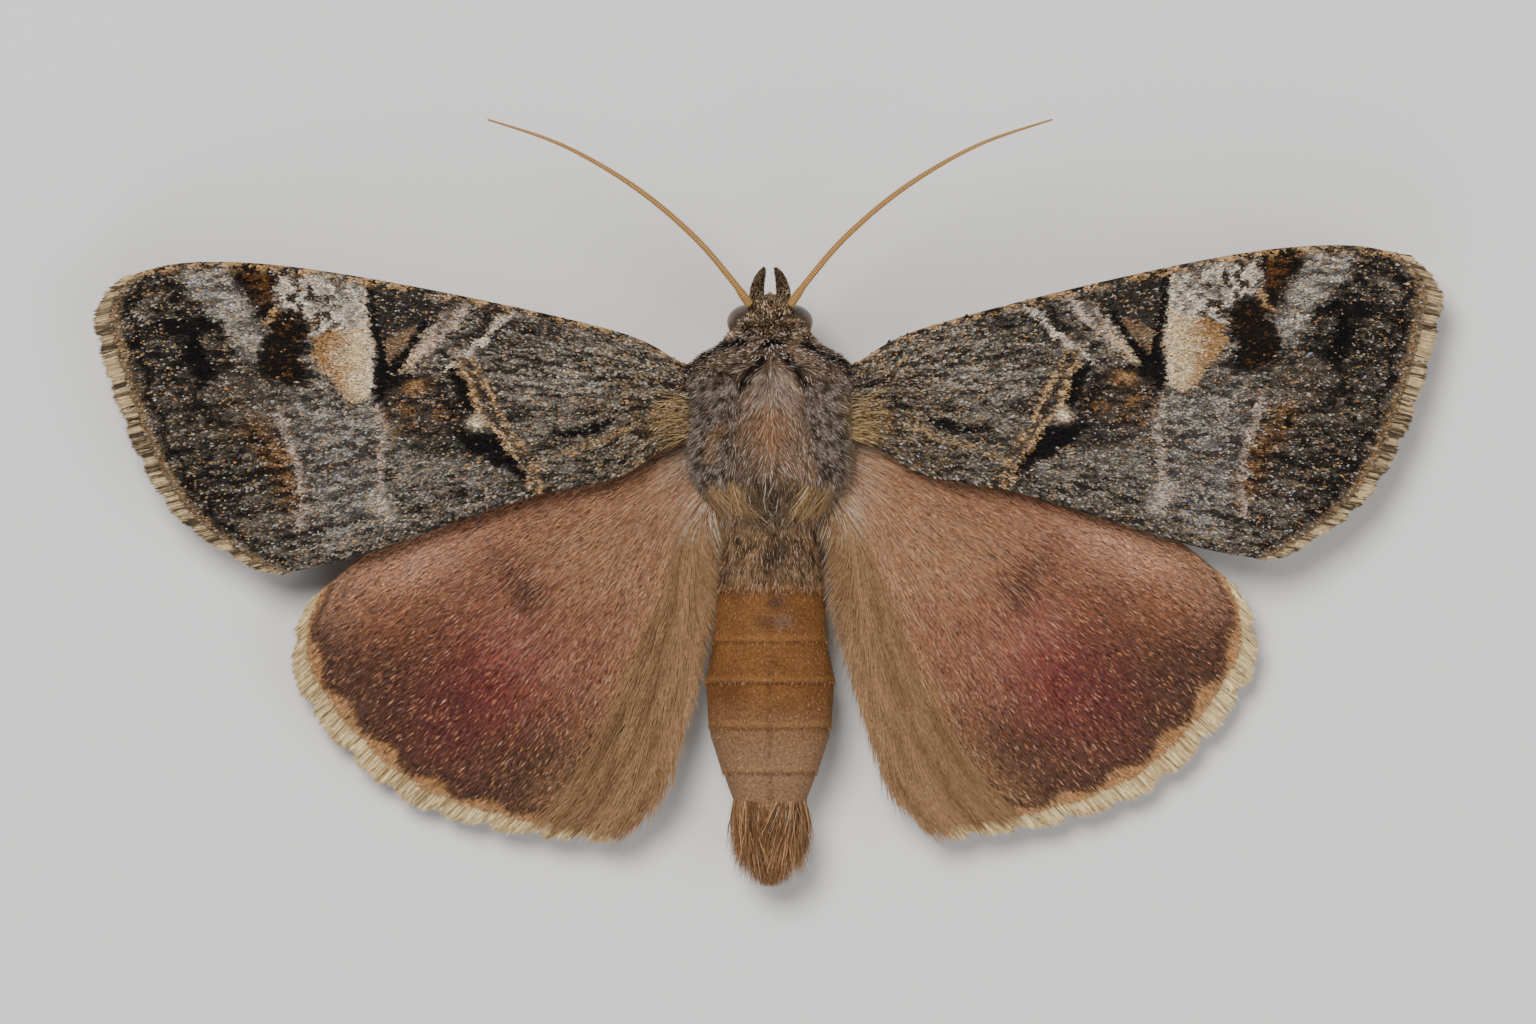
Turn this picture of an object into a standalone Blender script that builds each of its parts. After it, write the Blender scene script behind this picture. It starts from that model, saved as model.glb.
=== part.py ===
"""Still, life-size owlet moth at rest on the floor with its wings spread.

Metres, +Z up. The head points towards -Y, the moth's left is +X, and the floor is Z = 0.
"""

import math
import random

import bmesh
import bpy
from mathutils import Matrix, Vector
from mathutils.bvhtree import BVHTree

MM = 0.001
GAP = 0.3 * MM
SEED = 7

# Wings: both pairs follow one curved sheet, so the hindwing stays one clear step under the forewing.
WING_THICKNESS = 0.5 * MM
WING_STEP = 0.9 * MM
WING_ROOT_X = 2.5 * MM
WING_ROOT_Z = 4.2 * MM
TIP_X = 20.0 * MM
TIP_DROOP = 2.3 * MM
REAR_START_Y = -3.0 * MM
REAR_LENGTH = 13.0 * MM
REAR_DROOP = 1.6 * MM
COSTA_THICKNESS = 0.62 * MM
FRINGE_THICKNESS = 0.3 * MM
FRINGE_START = 0.955
VEIN_HEIGHT = 0.11 * MM
VEIN_HALF_SHARE = 0.012
ROWS = (0.0, 0.12, 0.25, 0.4, 0.55, 0.7, 0.84, FRINGE_START, 1.0)
SWEEP_BACK_DEG = {"left": 1.0, "right": -1.0}

# Wing edges seen from above, in millimetres: distance from the body's midline, then along +Y.
FOREWING = {
    "costa": [(1.2, -3.6), (2.6, -4.3), (4.5, -5.25), (9.8, -6.55), (14.4, -7.4), (17.4, -7.55),
              (19.2, -7.15)],
    "termen": [(19.2, -7.15), (20.0, -6.3), (19.95, -5.1), (19.0, -2.2), (17.8, -0.1), (16.1, 1.2),
               (14.9, 1.8)],
    "inner": [(1.4, -2.2), (2.9, -1.9), (4.5, -0.95), (7.1, -0.4), (9.8, 0.45), (12.8, 1.4), (14.9, 1.8)],
    "veins": (0.09, 0.2, 0.31, 0.42, 0.53, 0.64, 0.75, 0.87),
    "scallop": 0.08 * MM,
}
HINDWING = {
    "costa": [(1.2, -2.7), (3.0, -2.4), (6.5, -1.5), (9.6, -0.2), (12.1, 1.15), (13.8, 2.6)],
    "termen": [(13.8, 2.6), (14.3, 3.7), (14.2, 5.1), (12.9, 7.0), (10.9, 8.65), (8.0, 9.55), (4.8, 9.9)],
    "inner": [(1.3, -0.9), (2.05, 0.6), (2.15, 2.4), (2.35, 4.4), (2.8, 6.4), (3.5, 8.4), (4.8, 9.9)],
    "veins": (0.1, 0.24, 0.37, 0.49, 0.6, 0.71, 0.82, 0.92),
    "scallop": 0.16 * MM,
}
WING_PIVOT = Vector((WING_ROOT_X, -3.2 * MM, 0.0))

# Body stations, in millimetres: along Y, half width, underside, top.
THORAX = [
    (-4.75, 0.75, 2.5, 4.3),
    (-4.45, 1.5, 2.0, 4.95),
    (-3.9, 2.05, 1.6, 5.35),
    (-3.1, 2.2, 1.45, 5.5),
    (-2.0, 2.25, 1.45, 5.5),
    (-1.0, 2.15, 1.5, 5.3),
    (-0.3, 1.85, 1.65, 4.9),
    (0.15, 1.35, 2.0, 4.4),
]
HEAD_CENTRE = Vector((0.0, -5.6, 3.45)) * MM
HEAD_RADII = Vector((0.85, 0.8, 1.15)) * MM
EYE_RADIUS = 0.62 * MM
EYE_CENTRE_X = 0.62 * MM
EYE_GAP = 0.2 * MM
ABDOMEN_START = 0.35
ABDOMEN_EDGES = [2.5, 4.0, 5.2, 6.55, 7.9, 8.95]
ABDOMEN_HALF_WIDTH = [(0.35, 1.0), (1.2, 1.35), (2.5, 1.57), (4.0, 1.68), (5.2, 1.92), (6.8, 1.78),
                      (8.07, 1.34), (8.95, 0.98), (9.8, 0.75), (10.4, 0.35)]
ABDOMEN_HALF_HEIGHT = [(0.35, 1.0), (1.2, 1.28), (2.5, 1.5), (4.9, 1.6), (6.2, 1.54), (8.0, 1.15),
                       (8.95, 0.85), (9.8, 0.62), (10.4, 0.3)]
ABDOMEN_CENTRE_Z = [(0.35, 3.05), (2.5, 2.65), (4.9, 2.45), (7.3, 2.2), (8.95, 2.0), (10.4, 1.9)]
SEGMENT_STEP = 0.07 * MM

# Coat: rings of flat locks as (Y in millimetres, first angle, last angle, how many, along Y, spread
# to the sides, rise, length and width in millimetres). Angle 0 is the left side and 90 the top.
LOCK_SOLVER = "EXACT"
LOCK_SINK = 0.34 * MM
LOCK_THICKNESS = 0.5 * MM
LOCK_BEND = 0.22
LOCK_CLEARANCE = 0.28 * MM
LOCK_SHARES = (0.0, 0.34, 0.7, 1.0)
LOCK_WIDTHS = (0.85, 1.0, 0.72)
LOCK_DEPTHS = (1.0, 1.0, 0.76)
LOCK_SHORTER = (1.0, 0.8, 0.62, 0.48)
JITTER = 0.12
THORAX_LOCKS = [
    (-4.05, 22, 158, 9, -1, 0.55, 0.45, 1.5, 0.95),
    (-3.7, 30, 150, 8, 1, 0.5, 0.34, 1.9, 0.95),
    (-2.9, 33, 147, 8, 1, 0.5, 0.3, 1.9, 0.95),
    (-2.1, 34, 146, 8, 1, 0.5, 0.28, 1.8, 0.95),
    (-1.2, 28, 152, 7, 1, 0.35, 0.22, 1.6, 0.9),
    (-0.8, 68, 112, 3, 1, 0.1, 0.2, 2.0, 0.8),
    (-4.0, 205, 335, 5, 1, 0.1, 0.4, 1.3, 0.9),
    (-2.9, 222, 318, 4, 1, 0.1, 0.32, 1.4, 0.9),
    (-1.9, 222, 318, 4, 1, 0.1, 0.3, 1.4, 0.9),
    (-0.9, 205, 335, 5, 1, 0.1, 0.28, 1.4, 0.9),
]
ABDOMEN_LOCKS = [
    (0.95, 15, 165, 6, 1, 0.0, 0.24, 1.7, 1.0),
    (2.9, 84, 96, 2, 1, 0.1, 0.34, 0.9, 0.5),
    *(
        (y, side - 13, side + 13, 2, 1, 0.12, 0.16, 1.15, 0.7)
        for y in (3.3, 4.5, 5.8, 7.1)
        for side in (0, 180)
    ),
    (8.1, -30, 330, 8, 1, 0.1, 0.2, 1.3, 0.75),
    (8.95, -5, 355, 9, 1, 0.3, 0.2, 1.7, 0.7),
    (9.75, -30, 330, 7, 1, 0.25, 0.14, 1.75, 0.6),
]
HEAD_LOCKS = [
    (-5.42, 57, 124, 3, -1, 0.0, 0.4, 0.85, 0.55),
    (-5.88, 74, 104, 2, -1, 0.0, 0.34, 0.75, 0.5),
    (-5.3, 240, 301, 2, -1, 0.0, 0.3, 0.8, 0.6),
]
# Hair along the hindwing's inner margin: rows at a distance inside it, from one share of the margin to
# another, how many, length and width, with distances in millimetres.
HINDWING_LOCKS = [
    (0.25, 0.1, 0.8, 9, 2.2, 0.75),
    (1.0, 0.14, 0.66, 6, 2.2, 0.65),
    (1.8, 0.22, 0.6, 4, 2.2, 0.6),
]
HINDWING_HAIR_RISE = 0.1
HINDWING_HAIR_INWARD = 0.2
HINDWING_HAIR_SINK = 0.04 * MM

# Legs, in millimetres: root inside the thorax, knee, ankle and claw, as (x, y, z), and radii at each.
TARSUS_Z = 0.21
LEGS = {
    "foreleg": [(0.9, -3.4, 2.3), (2.95, -3.5, 2.2), (4.1, -4.0, 0.6), (5.6, -4.5, TARSUS_Z)],
    "midleg": [(1.1, -2.1, 2.1), (4.2, -1.6, 2.15), (5.8, -0.5, 0.6), (8.1, 0.4, TARSUS_Z)],
    "hindleg": [(1.1, -0.9, 2.1), (3.4, 1.3, 1.95), (4.8, 4.2, 0.65), (5.5, 7.2, TARSUS_Z)],
}
LEG_RADII = {"thigh": 0.4, "knee": 0.33, "shin": 0.3, "ankle": 0.27, "foot": 0.25}
SPURS = {"foreleg": (), "midleg": (1.0,), "hindleg": (0.55, 1.0)}
SPUR_LENGTH = 1.15 * MM
SPUR_RADIUS = 0.2 * MM
SPUR_TIP_RADIUS = 0.06 * MM
SPUR_SIDES = 5
SPUR_SPREAD = 0.32

# Feelers and mouth parts, in millimetres.
ANTENNA_PATH = [(0.62, -6.02, 4.52), (1.15, -6.75, 4.9), (2.3, -8.05, 5.35), (4.0, -9.45, 5.85),
                (6.1, -10.65, 6.3), (8.3, -11.4, 6.6)]
ANTENNA_RADIUS = 0.25 * MM
ANTENNA_TIP_RADIUS = 0.1 * MM
ANTENNA_STEPS = 14
ANTENNA_TAPER_START = 0.45
PALP_PATH = [(0.5, -6.24, 2.3), (0.49, -6.74, 2.56), (0.41, -7.0, 3.15), (0.23, -7.07, 3.9)]
PALP_RADII = (0.2, 0.25, 0.22, 0.07)
PALP_STEPS = 7
COIL_CENTRE = Vector((0.0, -5.85, 1.45)) * MM
COIL_RADIUS = 0.62 * MM
COIL_HALF_THICKNESS = 0.25 * MM
COIL_SIDES = 14
COIL_PROFILE = [(0.25, 0.6), (0.5, 1.0), (0.62, 0.7), (0.8, 1.0), (1.0, 0.5)]

COLOURS = {
    "forewing": (0.075, 0.062, 0.052),
    "hindwing": (0.2, 0.085, 0.06),
    "thorax": (0.16, 0.11, 0.085),
    "head": (0.14, 0.09, 0.06),
    "abdomen": (0.33, 0.14, 0.05),
    "antenna": (0.5, 0.31, 0.12),
    "eye": (0.06, 0.045, 0.035),
    "leg": (0.17, 0.12, 0.09),
}
ROUGHNESS = {"eye": 0.15, "antenna": 0.5}


def clear_scene():
    for obj in list(bpy.data.objects):
        bpy.data.objects.remove(obj, do_unlink=True)


def make_material(name):
    material = bpy.data.materials.new(name)
    material.use_nodes = True
    shader = material.node_tree.nodes["Principled BSDF"]
    shader.inputs["Base Color"].default_value = (*COLOURS[name], 1.0)
    shader.inputs["Roughness"].default_value = ROUGHNESS.get(name, 0.75)
    shader.inputs["Metallic"].default_value = 0.0
    return material


def add_object(name, mesh, collection, material=None):
    obj = bpy.data.objects.new(name, mesh)
    collection.objects.link(obj)
    if material:
        obj.data.materials.clear()
        obj.data.materials.append(material)
    return obj


def face_outward(bm):
    bmesh.ops.recalc_face_normals(bm, faces=bm.faces)
    if bm.calc_volume(signed=True) < 0:
        bmesh.ops.reverse_faces(bm, faces=bm.faces)


def finish_mesh(name, bm):
    face_outward(bm)
    mesh = bpy.data.meshes.new(name)
    bm.to_mesh(mesh)
    bm.free()
    return mesh


def shade_round(obj, sharp_deg=40):
    obj.data.shade_smooth()
    obj.data.set_sharp_from_angle(angle=math.radians(sharp_deg))


def smooth_curve(points, steps=16):
    """A function from a share of its length to a point on a smooth curve through points."""
    last = len(points) - 1
    fine = []
    for i in range(last):
        before, start = points[max(i - 1, 0)], points[i]
        end, after = points[i + 1], points[min(i + 2, last)]
        for step in range(steps):
            t = step / steps
            fine.append(
                (
                    start * 2
                    + (end - before) * t
                    + (before * 2 - start * 5 + end * 4 - after) * t**2
                    + (start * 3 - before - end * 3 + after) * t**3
                )
                * 0.5
            )
    fine.append(points[-1])
    lengths = [0.0]
    for a, b in zip(fine, fine[1:]):
        lengths.append(lengths[-1] + (b - a).length)

    def at(share):
        wanted = share * lengths[-1]
        i = 0
        while i < len(fine) - 2 and lengths[i + 1] < wanted:
            i += 1
        span = max(lengths[i + 1] - lengths[i], 1e-12)
        return fine[i].lerp(fine[i + 1], min(1.0, (wanted - lengths[i]) / span))

    return at


def interpolate(table, y):
    """The value at y in a table of (y, value) pairs, joined by straight lines."""
    if y <= table[0][0]:
        return table[0][1]
    for (y0, v0), (y1, v1) in zip(table, table[1:]):
        if y <= y1:
            return v0 + (v1 - v0) * (y - y0) / (y1 - y0)
    return table[-1][1]


def flat_points(pairs):
    return [Vector((x, y, 0.0)) * MM for x, y in pairs]


def wing_sheet(x, y):
    """Height of the forewing's middle surface: level at the root, lower towards the tips and the rear."""
    out = max(0.0, (abs(x) - WING_ROOT_X) / (TIP_X - WING_ROOT_X))
    back = max(0.0, (y - REAR_START_Y) / REAR_LENGTH)
    return WING_ROOT_Z - TIP_DROOP * out**1.5 - REAR_DROOP * back**1.4


def wing_columns(veins):
    """Places across the wing: three for each vein and one between neighbouring veins."""
    columns = {0.0, 1.0}
    for vein in veins:
        columns |= {vein - VEIN_HALF_SHARE, vein, vein + VEIN_HALF_SHARE}
    for a, b in zip((0.0, *veins), (*veins, 1.0)):
        columns.add((a + b) / 2)
    return sorted(columns)


def wing_patch(shape):
    """A function from (along, across) to a point of the flat wing, inside its four edge curves."""
    costa = smooth_curve(flat_points(shape["costa"]))
    inner = smooth_curve(flat_points(shape["inner"]))
    termen = smooth_curve(flat_points(shape["termen"]))
    front, rear = costa(0), inner(0)

    def at(along, across):
        root = front.lerp(rear, across)
        edges = costa(along).lerp(inner(along), across)
        ends = root.lerp(termen(across), along)
        corners = front.lerp(costa(1), along).lerp(rear.lerp(inner(1), along), across)
        return edges + ends - corners

    return at


def wing_scallop(shape, across):
    """How far the fringe stands out between veins, or draws in where a vein ends."""
    nearest = min(abs(across - vein) for vein in shape["veins"])
    if nearest < VEIN_HALF_SHARE * 1.5:
        return -shape["scallop"]
    return shape["scallop"]


def wing_mesh(name, shape, side, drop):
    """A closed wing plate with raised veins, each face split alike above and below."""
    sign = 1 if side == "left" else -1
    columns = wing_columns(shape["veins"])
    patch = wing_patch(shape)
    turn = Matrix.Rotation(math.radians(SWEEP_BACK_DEG[side]) * sign, 3, "Z")
    pivot = Vector((WING_PIVOT.x * sign, WING_PIVOT.y, 0.0))
    bm = bmesh.new()
    bmesh.ops.create_grid(bm, x_segments=len(ROWS) - 1, y_segments=len(columns) - 1, size=1.0)
    halves = {}
    for vert in bm.verts:
        row = round((vert.co.x + 1) / 2 * (len(ROWS) - 1))
        column = round((vert.co.y + 1) / 2 * (len(columns) - 1))
        along, across = ROWS[row], columns[column]
        flat = patch(along, across)
        if row == len(ROWS) - 1 and 0 < column < len(columns) - 1:
            outward = (flat - patch(0.9, across)).normalized()
            flat += outward * wing_scallop(shape, across)
        flat.x *= sign
        placed = pivot + turn @ (flat - pivot)
        thickness = WING_THICKNESS
        if column == 0:
            thickness = COSTA_THICKNESS
        if row == len(ROWS) - 1:
            thickness = FRINGE_THICKNESS
        raised = VEIN_HEIGHT if across in shape["veins"] and along < FRINGE_START else 0.0
        vert.co = (placed.x, placed.y, wing_sheet(placed.x, placed.y) - drop)
        halves[vert] = (thickness / 2 + raised, thickness / 2)
    bmesh.ops.triangulate(bm, faces=bm.faces)
    upper = list(bm.verts)
    pushed = bmesh.ops.extrude_face_region(bm, geom=list(bm.faces))
    lower = [item for item in pushed["geom"] if isinstance(item, bmesh.types.BMVert)]
    below = {(round(v.co.x, 9), round(v.co.y, 9)): v for v in lower}
    for vert in upper:
        above_half, under_half = halves[vert]
        twin = below[(round(vert.co.x, 9), round(vert.co.y, 9))]
        vert.co.z += above_half
        twin.co.z -= under_half
    return finish_mesh(name, bm)


def ring_point(station, angle):
    """A point on a body cross-section: angle 0 is the left side, a quarter turn is the top."""
    y, half_width, low, high = station
    middle, half_height = (low + high) / 2, (high - low) / 2
    return Vector((half_width * math.cos(angle), y, middle + half_height * math.sin(angle))) * MM


def loft(name, stations, sides=20):
    """A closed body through elliptical cross-sections along Y."""
    bm = bmesh.new()
    rings = []
    for station in stations:
        ring = [bm.verts.new(ring_point(station, 2 * math.pi * i / sides)) for i in range(sides)]
        rings.append(ring)
    for before, after in zip(rings, rings[1:]):
        for i in range(sides):
            j = (i + 1) % sides
            bm.faces.new((before[i], before[j], after[j], after[i]))
    bm.faces.new(rings[0])
    bm.faces.new(rings[-1])
    return finish_mesh(name, bm)


def grown(stations, by):
    """The same stations, larger all round by a distance in metres."""
    more = by / MM
    wide = [(y, w + more, low - more, high + more) for y, w, low, high in stations]
    first, last = wide[0], wide[-1]
    return [(first[0] - more, *first[1:]), *wide[1:-1], (last[0] + more, *last[1:])]


def thorax_station(y_mm):
    """The thorax cross-section at a place along Y, in millimetres."""
    columns = [[(row[0], row[i]) for row in THORAX] for i in (1, 2, 3)]
    return (y_mm, *(interpolate(column, y_mm) for column in columns))


def abdomen_station(y_mm, wider_mm=0.0):
    half_width = interpolate(ABDOMEN_HALF_WIDTH, y_mm) + wider_mm
    half_height = interpolate(ABDOMEN_HALF_HEIGHT, y_mm) + wider_mm
    centre = interpolate(ABDOMEN_CENTRE_Z, y_mm)
    return (y_mm, half_width, centre - half_height, centre + half_height)


def on_body(station_at, y_mm, angle):
    """A point on a body's surface, and the direction out of the surface there."""
    station = station_at(y_mm)
    here = ring_point(station, angle)
    half_height = (station[3] - station[2]) / 2
    out = Vector((math.cos(angle) / station[1], 0.0, math.sin(angle) / half_height)).normalized()
    slope = ring_point(station_at(y_mm + 0.2), angle) - ring_point(station_at(y_mm - 0.2), angle)
    out = (out - slope * out.dot(slope) / slope.length_squared).normalized()
    return here, out


def lock_mesh(name, path, outs, widths, thicknesses):
    """A flat, tapered lock: four-sided rings along path, the last of its points the tip."""
    bm = bmesh.new()
    rings = []
    for i, (point, out) in enumerate(zip(path[:-1], outs)):
        along = (path[i + 1] - path[max(i - 1, 0)]).normalized()
        sideways = along.cross(out).normalized()
        upward = sideways.cross(along).normalized()
        half_width, half_thickness = widths[i] / 2, thicknesses[i] / 2
        rings.append(
            [
                bm.verts.new(point + sideways * half_width),
                bm.verts.new(point + upward * half_thickness),
                bm.verts.new(point - sideways * half_width),
                bm.verts.new(point - upward * half_thickness),
            ]
        )
    for before, after in zip(rings, rings[1:]):
        for i in range(4):
            j = (i + 1) % 4
            bm.faces.new((before[i], before[j], after[j], after[i]))
    tip = bm.verts.new(path[-1])
    for i in range(4):
        bm.faces.new((rings[-1][i], rings[-1][(i + 1) % 4], tip))
    bm.faces.new(rings[0])
    bmesh.ops.triangulate(bm, faces=bm.faces)
    return finish_mesh(name, bm)


def grow_lock(name, root, out, heading, length, width, group, sink):
    """A lock rooted under the point root, leaving along heading and bending back against out."""
    bend = out * LOCK_BEND * length
    path = [root + heading * length * share - bend * share**2 for share in LOCK_SHARES]
    path[0] = root - out * sink
    widths = [share * width for share in LOCK_WIDTHS]
    depths = [share * LOCK_THICKNESS for share in LOCK_DEPTHS]
    return add_object(name, lock_mesh(name, path, [out] * 3, widths, depths), group)


def stays_clear(obj, trees):
    """Whether every corner and face of a lock keeps its distance from the other nodes."""
    points = [vert.co for vert in obj.data.vertices] + [face.center for face in obj.data.polygons]
    for tree in trees:
        for point in points:
            if tree.find_nearest(point, LOCK_CLEARANCE)[0]:
                return False
    return True


def fitting_lock(name, root, out, heading, length, width, group, trees, sink=LOCK_SINK):
    """The longest of a few lengths of a lock that stays clear of the other nodes, if any does."""
    for share in LOCK_SHORTER:
        narrower = width * (0.4 + 0.6 * share)
        lock = grow_lock(name, root, out, heading, length * share, narrower, group, sink)
        if stays_clear(lock, trees):
            return lock
        bpy.data.objects.remove(lock, do_unlink=True)
    return None


def node_trees(skip):
    """Search trees of every finished node but one."""
    trees = []
    for obj in bpy.data.collections["owlet_moth"].objects:
        if obj != skip:
            bm = bmesh.new()
            bm.from_mesh(obj.data)
            trees.append(BVHTree.FromBMesh(bm))
            bm.free()
    return trees


def dress(obj, rows, station_at, group):
    """Fuses rings of locks to a body."""
    trees = node_trees(obj)
    locks = []
    for row, (y, first, last, count, along, spread, rise, length, width) in enumerate(rows):
        for i in range(count):
            angle = math.radians(first + (last - first) * i / (count if last - first == 360 else count - 1))
            angle += random.uniform(-JITTER, JITTER) * 0.5
            place = y + random.uniform(-JITTER, JITTER)
            root, out = on_body(station_at, place, angle)
            aside = random.uniform(-JITTER, JITTER) + out.x * spread
            heading = Vector((aside, along, 0.0)) + out * rise
            reach = length * (1 + random.uniform(-JITTER, JITTER)) * MM
            name = f"{obj.name}_lock_{row}_{i}"
            lock = fitting_lock(name, root, out, heading.normalized(), reach, width * MM, group, trees)
            if lock:
                locks.append(lock)
    combine(obj, locks, "UNION", LOCK_SOLVER)
    return len(locks)


def keep_largest(mesh):
    """Leaves only the largest closed surface of a mesh."""
    bm = bmesh.new()
    bm.from_mesh(mesh)
    left = set(bm.verts)
    groups = []
    while left:
        front = [left.pop()]
        group = set(front)
        while front:
            vert = front.pop()
            for edge in vert.link_edges:
                other = edge.other_vert(vert)
                if other in left:
                    left.discard(other)
                    group.add(other)
                    front.append(other)
        groups.append(group)
    largest = max(groups, key=len)
    loose = [vert for group in groups if group is not largest for vert in group]
    bmesh.ops.delete(bm, geom=loose, context="VERTS")
    bmesh.ops.triangulate(bm, faces=bm.faces)
    bm.to_mesh(mesh)
    bm.free()


def combine(obj, others, operation, solver="EXACT"):
    """Joins others to obj, or cuts them from it, with one Boolean, and removes them."""
    group = bpy.data.collections.new(obj.name + "_" + operation.lower())
    bpy.context.scene.collection.children.link(group)
    for other in others:
        for old in list(other.users_collection):
            old.objects.unlink(other)
        group.objects.link(other)
    modifier = obj.modifiers.new(operation.lower(), "BOOLEAN")
    modifier.operation = operation
    modifier.solver = solver
    modifier.operand_type = "COLLECTION"
    modifier.collection = group
    bpy.context.view_layer.update()
    graph = bpy.context.evaluated_depsgraph_get()
    made = bpy.data.meshes.new_from_object(obj.evaluated_get(graph))
    obj.modifiers.clear()
    obj.data = made
    for other in others:
        bpy.data.objects.remove(other, do_unlink=True)
    bpy.data.collections.remove(group)
    keep_largest(obj.data)


def tube(name, points, radii, scratch, sides_resolution=2):
    """A closed tube along points, as a mesh, from a curve with filled caps."""
    curve = bpy.data.curves.new(name, "CURVE")
    curve.dimensions = "3D"
    curve.bevel_depth = 1.0
    curve.bevel_resolution = sides_resolution
    curve.use_fill_caps = True
    spline = curve.splines.new("POLY")
    spline.points.add(len(points) - 1)
    for place, point, radius in zip(spline.points, points, radii):
        place.co = (*point, 1.0)
        place.radius = radius
    holder = add_object(name + "_curve", curve, scratch)
    bpy.context.view_layer.update()
    graph = bpy.context.evaluated_depsgraph_get()
    mesh = bpy.data.meshes.new_from_object(holder.evaluated_get(graph))
    bpy.data.objects.remove(holder, do_unlink=True)
    bm = bmesh.new()
    bm.from_mesh(mesh)
    bmesh.ops.remove_doubles(bm, verts=bm.verts, dist=1e-6)
    face_outward(bm)
    bm.to_mesh(mesh)
    bm.free()
    return add_object(name, mesh, scratch)


def ellipsoid(name, centre, radii, scratch, segments=20, rings=12):
    bm = bmesh.new()
    bmesh.ops.create_uvsphere(bm, u_segments=segments, v_segments=rings, radius=1.0)
    for vert in bm.verts:
        vert.co = Vector((vert.co.x * radii[0], vert.co.y * radii[1], vert.co.z * radii[2])) + centre
    return add_object(name, finish_mesh(name, bm), scratch)


def trim_below(mesh, height):
    """Cuts a closed mesh level at a height and closes it, so that it stands flat."""
    bm = bmesh.new()
    bm.from_mesh(mesh)
    bmesh.ops.bisect_plane(
        bm,
        geom=list(bm.verts) + list(bm.edges) + list(bm.faces),
        plane_co=(0, 0, height),
        plane_no=(0, 0, -1),
        clear_outer=True,
    )
    bmesh.ops.holes_fill(bm, edges=[edge for edge in bm.edges if edge.is_boundary])
    bmesh.ops.triangulate(bm, faces=bm.faces)
    face_outward(bm)
    bm.to_mesh(mesh)
    bm.free()


def make_forewing(side, collection, material, scratch):
    name = "forewing_" + side
    obj = add_object(name, wing_mesh(name, FOREWING, side, 0.0), collection, material)
    cutter = add_object(name + "_cutter", loft(name + "_cutter", grown(THORAX, GAP)), scratch)
    combine(obj, [cutter], "DIFFERENCE")
    return obj


def make_hindwing(side, collection, material, scratch):
    name = "hindwing_" + side
    obj = add_object(name, wing_mesh(name, HINDWING, side, WING_STEP), collection, material)
    cutter = add_object(name + "_cutter", loft(name + "_cutter", grown(THORAX, GAP)), scratch)
    combine(obj, [cutter], "DIFFERENCE")
    return obj


def dress_hindwing(side, group):
    """Fuses overlapping hair locks to the hindwing beside its inner margin, pointing back along it."""
    obj = bpy.data.objects["hindwing_" + side]
    sign = 1 if side == "left" else -1
    margin = smooth_curve(flat_points(HINDWING["inner"]))
    trees = node_trees(obj)
    locks = []
    for row, (inset, first, last, count, length, width) in enumerate(HINDWING_LOCKS):
        for i in range(count):
            share = first + (last - first) * (i + random.uniform(-0.2, 0.2)) / (count - 1)
            ahead = (margin(share + 0.1) - margin(share)).normalized()
            inside = ahead.cross(Vector((0, 0, 1)))
            root = margin(share) + inside * inset * MM
            inward = -HINDWING_HAIR_INWARD if row == 0 else 0.0
            heading = (ahead + inside * inward + Vector((0, 0, HINDWING_HAIR_RISE))).normalized()
            root.x *= sign
            heading.x *= sign
            root.z = wing_sheet(root.x, root.y) - WING_STEP + WING_THICKNESS * 0.3
            name = f"{obj.name}_lock_{row}_{i}"
            up = Vector((0, 0, 1))
            size = (length * MM, width * MM)
            lock = fitting_lock(name, root, up, heading, *size, group, trees, HINDWING_HAIR_SINK)
            if lock:
                locks.append(lock)
    combine(obj, locks, "UNION", LOCK_SOLVER)
    return len(locks)


def make_thorax(collection, material, scratch):
    return add_object("thorax", loft("thorax", THORAX), collection, material)


def make_head(collection, material, scratch):
    head = ellipsoid("head", HEAD_CENTRE, HEAD_RADII, collection)
    head.data.materials.append(material)
    cutters = [add_object("head_cutter", loft("head_cutter", grown(THORAX, GAP)), scratch)]
    for sign in (1, -1):
        pocket = eye_form("pocket", sign, EYE_GAP, scratch)
        cutters.append(pocket)
    combine(head, cutters, "DIFFERENCE")
    return head


def eye_form(name, sign, more, collection):
    """The outer half of a sphere, larger by more all round."""
    centre = Vector((EYE_CENTRE_X * sign, HEAD_CENTRE.y, HEAD_CENTRE.z - 0.05 * MM))
    radius = EYE_RADIUS + more
    obj = ellipsoid(name, centre, (radius, radius, radius), collection, 16, 10)
    bm = bmesh.new()
    bm.from_mesh(obj.data)
    bmesh.ops.bisect_plane(
        bm,
        geom=list(bm.verts) + list(bm.edges) + list(bm.faces),
        plane_co=(centre.x - more * sign, 0, 0),
        plane_no=(-sign, 0, 0),
        clear_outer=True,
    )
    bmesh.ops.holes_fill(bm, edges=[edge for edge in bm.edges if edge.is_boundary])
    bmesh.ops.triangulate(bm, faces=bm.faces)
    face_outward(bm)
    bm.to_mesh(obj.data)
    bm.free()
    return obj


def make_eye(side, collection, material):
    obj = eye_form("eye_" + side, 1 if side == "left" else -1, 0.0, collection)
    obj.data.materials.append(material)
    return obj


def head_station(y_mm):
    """The head's cross-section at a place along Y, in millimetres."""
    along = min(0.95, abs(y_mm * MM - HEAD_CENTRE.y) / HEAD_RADII.y)
    share = math.sqrt(1 - along**2)
    half_width, half_height = HEAD_RADII.x * share / MM, HEAD_RADII.z * share / MM
    centre = HEAD_CENTRE.z / MM
    return (y_mm, half_width, centre - half_height, centre + half_height)


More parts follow.
